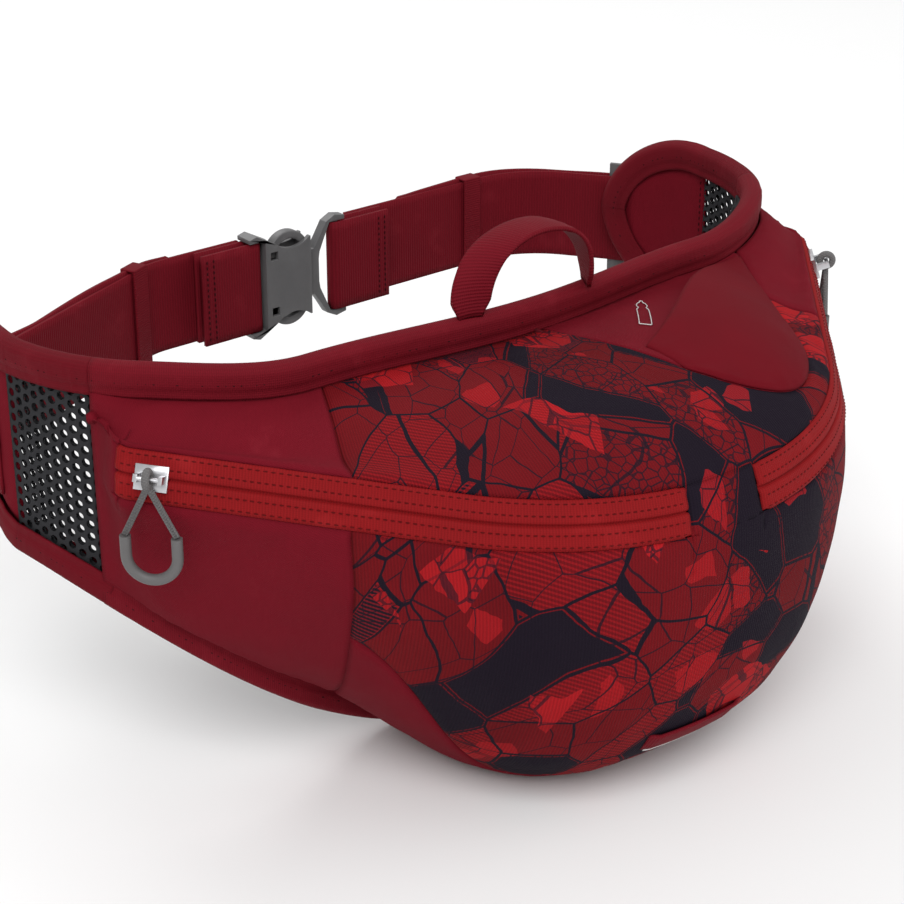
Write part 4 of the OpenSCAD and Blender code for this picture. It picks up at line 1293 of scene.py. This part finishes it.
class PACK_OT_belt(Operator):
    """Thread the belt's webbing: anchors, straps with their tails, and buckle loops"""

    bl_idname = "waist_pack.belt"
    bl_label = "Belt webbing"

    ANCHOR, LOCK, RING = 0.214, 0.246, 0.0035
    ENDS, TAILS, LOOP = (0.016, 0.038), (0.040, 0.060), 0.026
    BARS = (-0.0122, 0.029)
    STEP, ROUNDED = 1.6 * MM, 22 * MM

    def execute(self, context):
        f = form()
        z, t, wide = f.z, f.z.webbing, f.z.webbing_width
        lo = self.RING - 2 * MM + 0.4 * MM
        mid = lo + t / 2
        high = lo + t + 2 * PLY + 2 * MM + t / 2
        low = lo + t + PLY + t / 2
        for k, (name, s) in enumerate((("left", -1), ("right", 1))):
            bm = bmesh.new()
            runs = [s * lerp(self.ANCHOR, self.LOCK + 2 * MM, i / 24) for i in range(25)]
            path = [f.loop(w, 0.7 * MM, z.belt_height) for w in runs]
            band(bm, path, wide)
            anchor = "anchor_webbing_" + name
            piece(anchor, bm, "pack", "webbing", [anchor], 1.1 * MM, 0.0)
            a, b = f.far_run(s, s * self.ENDS[k]), f.far_run(s, s * self.TAILS[k])
            path = [f.loop(s * w, mid, z.belt_height) for w in steps(a, self.LOCK, 3 * MM)]
            turn = (high - mid) / 2
            for i in range(1, 8):
                g = math.pi * i / 8
                w = self.LOCK - turn * 0.45 * math.sin(g)
                path.append(f.loop(s * w, mid + turn - turn * math.cos(g), z.belt_height))
            for w in steps(self.LOCK, b, 3 * MM):
                rise = lerp(high, low, ease((w - self.LOCK - 13 * MM) / (24 * MM)))
                far = w - self.LOCK
                hump_out = 0.8 * MM * math.sin(math.pi * clamp((far - 0.035) / 0.05)) if far < 0.085 else 0.0
                path.append(f.loop(s * w, rise + hump_out, z.belt_height))
            bm = bmesh.new()
            path = resample(path, self.STEP)
            if s > 0:
                path.reverse()
            end = len(path) - 1

            def place(p, q, path=path, s=s, end=end):
                x = p * end
                i = min(end - 1, int(x + 1e-6))
                c = path[i].lerp(path[i + 1], x - i)
                tail = (x if s > 0 else end - x) * self.STEP
                round_end = wide / 2 - math.sqrt(max(0, (wide / 2) ** 2 - ((q - 0.5) * wide * 0.98) ** 2))
                sag = Vector((0, 0, 1)) * 1.2 * MM * hump(tail - 0.045, 0.03)
                if tail < self.ROUNDED:
                    shift = round_end * 0.55 * (1 - ease(tail / self.ROUNDED))
                    i2 = max(0.0, min(end - 1e-3, x + (shift if s > 0 else -shift) / self.STEP))
                    c = path[int(i2)].lerp(path[int(i2) + 1], i2 - int(i2))
                return c + Vector((0, 0, (q - 0.5) * wide)) + sag, (x * self.STEP, (q - 0.5) * wide)

            grid(bm, end, 12, place)
            piece("strap_" + name, bm, "pack", "webbing", ["strap_" + name], t * 0.9, 0.0)
        self.bar_loop("socket_loop", f, "pack", self.BARS[0], -1)
        self.bar_loop("insert_loop", f, "insert", self.BARS[1], 1)
        return {"FINISHED"}

    def bar_loop(self, name, f, body, x, s):
        """Webbing folded round a buckle bar and sewn to itself"""
        t = f.z.webbing
        r = self.RING - t / 2
        y0 = f.far_y - 2 * MM
        path = [Vector((x + s * self.LOOP, y0 - r, 0))]
        path += [Vector((x + s * self.LOOP * k, y0 - r, 0)) for k in (0.8, 0.6, 0.4, 0.2)]
        half_turn = [math.pi * k / 10 for k in range(11)]
        path += [Vector((x - s * r * math.sin(g), y0 - r * math.cos(g), 0)) for g in half_turn]
        path += [Vector((x + s * self.LOOP * k, y0 + r, 0)) for k in (0.2, 0.4, 0.6, 0.8, 1.0)]
        if s < 0:
            path.reverse()
        path = resample([p + Vector((0, 0, f.z.belt_height)) for p in path], 1.2 * MM)
        bm = bmesh.new()
        band(bm, path, f.z.webbing_width)
        piece(name, bm, body, "webbing", [name], t * 0.9, 0.0)
        bm = bmesh.new()
        heights = [f.z.belt_height + lerp(-0.46, 0.46, k / 20) * f.z.webbing_width for k in range(21)]
        for column in (0.80, 0.92):
            for out, y in ((-1, y0 - self.RING), (1, y0 + self.RING)):
                line = [Vector((x + s * self.LOOP * column, y, height)) for height in heights]
                sew(bm, line, lambda p, out=out: Vector((0, out, 0)), 2.4 * MM, 0.35 * MM)
        piece(name + "_stitches", bm, body, "thread", (), merge=0)


def steps(a, b, size):
    """Values from a to b about size apart"""
    n = max(1, round(abs(b - a) / size))
    return [lerp(a, b, k / n) for k in range(n + 1)]


class PACK_OT_keepers(Operator):
    """Make the elastic keepers that hold the straps' tails"""

    bl_idname = "waist_pack.keepers"
    bl_label = "Keepers"

    def execute(self, context):
        f = form()
        for name in ("left", "right"):
            bm = cad_copy(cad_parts["keeper_" + name])
            bmesh.ops.subdivide_edges(bm, edges=bm.edges[:], cuts=1, use_grid_fill=True)
            obj = piece("keeper_" + name, bm, "keeper_loop_" + name, "elastic", ["keeper_" + name])
            round_edges(obj, 0.5 * MM, 3)
            box_uv(obj, Vector((0, 0, 1)))
            low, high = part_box("keeper_" + name)
            middle = (low + high) / 2
            n = f.outward(self.nearest(f, -1 if name == "left" else 1, middle))
            along = Vector((-n.y, n.x, 0))
            reach = 2 * f.z.webbing + 0.9 * MM
            face = middle + n * (reach / 2 + 1.2 * MM)
            bm = bmesh.new()
            for k in range(8):
                rung = face + along * lerp(-2.6, 2.6, k / 7) * MM
                line = [rung + Vector((0, 0, x * MM)) for x in (-1.6, 0, 1.6)]
                sew(bm, line, lambda p: n, 3.2 * MM, 0.3 * MM, 0.98)
            piece("keeper_bartack_" + name, bm, "keeper_loop_" + name, "tack", (), merge=0)
        return {"FINISHED"}

    def nearest(self, f, s, p):
        """Run on side s at which the belt comes nearest to a point"""
        runs = [s * w for w in steps(0.26, 0.40, 1 * MM)]
        return min(runs, key=lambda w: (f.loop(w, 2 * MM, p.z) - p).length)


# ---- hardware ----


def cad_copy(node):
    bm = bmesh.new()
    bm.from_mesh(node.data)
    bmesh.ops.remove_doubles(bm, verts=bm.verts, dist=0.02 * MM)
    bmesh.ops.dissolve_limit(bm, angle_limit=math.radians(1), verts=bm.verts, edges=bm.edges)
    return bm


def round_edges(obj, width, segments=2, degrees=30):
    """Rounds a moulded piece's edges"""
    m = obj.modifiers.new("Round", "BEVEL")
    m.width, m.segments, m.limit_method, m.angle_limit = width, segments, "ANGLE", math.radians(degrees)
    m.harden_normals = True
    obj.data.shade_smooth()


def box_uv(obj, up):
    """Lays the cloth's threads on a cut piece by its plain faces"""
    mesh = obj.data
    layer = mesh.uv_layers.get("UVMap") or mesh.uv_layers.new(name="UVMap")
    for poly in mesh.polygons:
        n = poly.normal
        side = up.cross(n)
        side = side.normalized() if side.length > 0.3 else Vector((1, 0, 0))
        for i in poly.loop_indices:
            co = mesh.vertices[mesh.loops[i].vertex_index].co
            layer.data[i].uv = (co.dot(up), co.dot(side))


class PACK_OT_hardware(Operator):
    """Finish the buckle, adjusters, sliders, pull cords and grips"""

    bl_idname = "waist_pack.hardware"
    bl_label = "Hardware"

    def execute(self, context):
        moulded_pieces = [
            ("buckle_socket", "pack", "plastic", "hardware", 0.9),
            ("buckle_insert", "insert", "plastic", "hardware", 0.6),
            ("release_arm_top", "arm_top", "plastic", "hardware", 0.7),
            ("release_arm_bottom", "arm_bottom", "plastic", "hardware", 0.7),
            ("ladderlock_left", "pack", "plastic", "hardware", 0.5),
            ("ladderlock_right", "pack", "plastic", "hardware", 0.5),
        ]
        for s in ("left", "right"):
            moulded_pieces += [
                ("slider_" + s, "slider_" + s, "steel", "zip_metal", 0.45),
                ("pull_cord_" + s, "pull_" + s, "cord", "cord", 0.0),
                ("pull_grip_" + s, "pull_" + s, "grip", "grip", 0.0),
            ]
        for name, body, material, slot, edge in moulded_pieces:
            bm = cad_copy(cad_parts[name])
            obj = piece(name, bm, body, material, [name])
            if edge:
                round_edges(obj, edge * MM, 3)
            else:
                obj.data.shade_smooth()
                obj.data.set_sharp_from_angle(angle=math.radians(50))
        return {"FINISHED"}


# ---- stage ----


class PACK_OT_stage(Operator):
    """Set the floor, the lights and the camera"""

    bl_idname = "waist_pack.stage"
    bl_label = "Stage"

    EYE, AIM = (-0.49428, -0.55193, 0.44278), (0, 0.03, 0.08)
    BEARING, RISE, LENS, SENSOR = math.radians(-39.412), math.radians(24.966), 89.6, 36
    SKY, FLOOR_SIZE = 0.62, 6

    def execute(self, context):
        scene = context.scene
        bm = bmesh.new()
        bmesh.ops.create_grid(bm, x_segments=1, y_segments=1, size=self.FLOOR_SIZE)
        mesh = bpy.data.meshes.new("floor")
        bm.to_mesh(mesh)
        bm.free()
        floor = bpy.data.objects.new("floor", mesh)
        mesh.materials.append(MATERIALS["floor"])
        scene.collection.objects.link(floor)
        for name, where, size, watts in (
            ("key", (-1.1, -1.3, 2.0), 1.6, 40),
            ("fill", (1.6, -1.2, 1.2), 1.6, 12),
            ("rim", (0.3, 1.7, 1.6), 1.2, 14),
        ):
            lamp = bpy.data.lights.new(name, "AREA")
            lamp.size, lamp.energy = size, watts
            obj = bpy.data.objects.new(name, lamp)
            obj.location = where
            obj.rotation_euler = (Vector(self.AIM) - Vector(where)).to_track_quat("-Z", "Y").to_euler()
            scene.collection.objects.link(obj)
        world = bpy.data.worlds.new("Studio")
        world.use_nodes = True
        sky = world.node_tree.nodes["Background"].inputs
        sky["Color"].default_value, sky["Strength"].default_value = (1, 1, 1, 1), self.SKY
        scene.world = world
        scene.view_settings.view_transform = "Standard"
        a, e = self.BEARING, self.RISE
        back = Vector((math.sin(a) * math.cos(e), -math.cos(a) * math.cos(e), math.sin(e)))
        right = Vector((math.cos(a), math.sin(a), 0))
        data = bpy.data.cameras.new("camera")
        data.lens, data.sensor_width = self.LENS, self.SENSOR
        camera = bpy.data.objects.new("camera", data)
        turn = Matrix((right, back.cross(right), back)).transposed().to_4x4()
        camera.matrix_world = Matrix.Translation(self.EYE) @ turn
        scene.collection.objects.link(camera)
        scene.camera = camera
        return {"FINISHED"}


class PACK_PT_panel(Panel):
    """Lists the pack's pieces, sizes and colours"""

    bl_idname = "PACK_PT_panel"
    bl_label = "Waist pack"
    bl_space_type = "VIEW_3D"
    bl_region_type = "UI"
    bl_category = "Waist pack"

    def draw(self, context):
        for maker in MAKERS:
            self.layout.operator(maker.bl_idname)
        for group in (context.scene.pack_sizes, context.scene.pack_colours):
            box = self.layout.box()
            for key in group.__annotations__:
                box.prop(group, key)


MAKERS = (
    PACK_OT_stage,
    PACK_OT_bag,
    PACK_OT_sleeve,
    PACK_OT_zips,
    PACK_OT_divider,
    PACK_OT_back,
    PACK_OT_binding,
    PACK_OT_wings,
    PACK_OT_handle,
    PACK_OT_light_loop,
    PACK_OT_belt,
    PACK_OT_keepers,
    PACK_OT_hardware,
)
CLASSES = (PackSizes, PackColours, *MAKERS, PACK_PT_panel)


def register():
    for cls in CLASSES:
        bpy.utils.register_class(cls)
    bpy.types.Scene.pack_sizes = PointerProperty(type=PackSizes)
    bpy.types.Scene.pack_colours = PointerProperty(type=PackColours)


def unregister():
    del bpy.types.Scene.pack_colours
    del bpy.types.Scene.pack_sizes
    for cls in reversed(CLASSES):
        bpy.utils.unregister_class(cls)


def main():
    global FORM
    register()
    scene = bpy.context.scene
    FORM = Form(scene.pack_sizes)
    make_materials(scene.pack_colours)
    for maker in MAKERS:
        group, name = maker.bl_idname.split(".")
        if getattr(getattr(bpy.ops, group), name)() != {"FINISHED"}:
            raise RuntimeError("couldn't finish " + maker.bl_label)


if __name__ == "__main__":
    main()
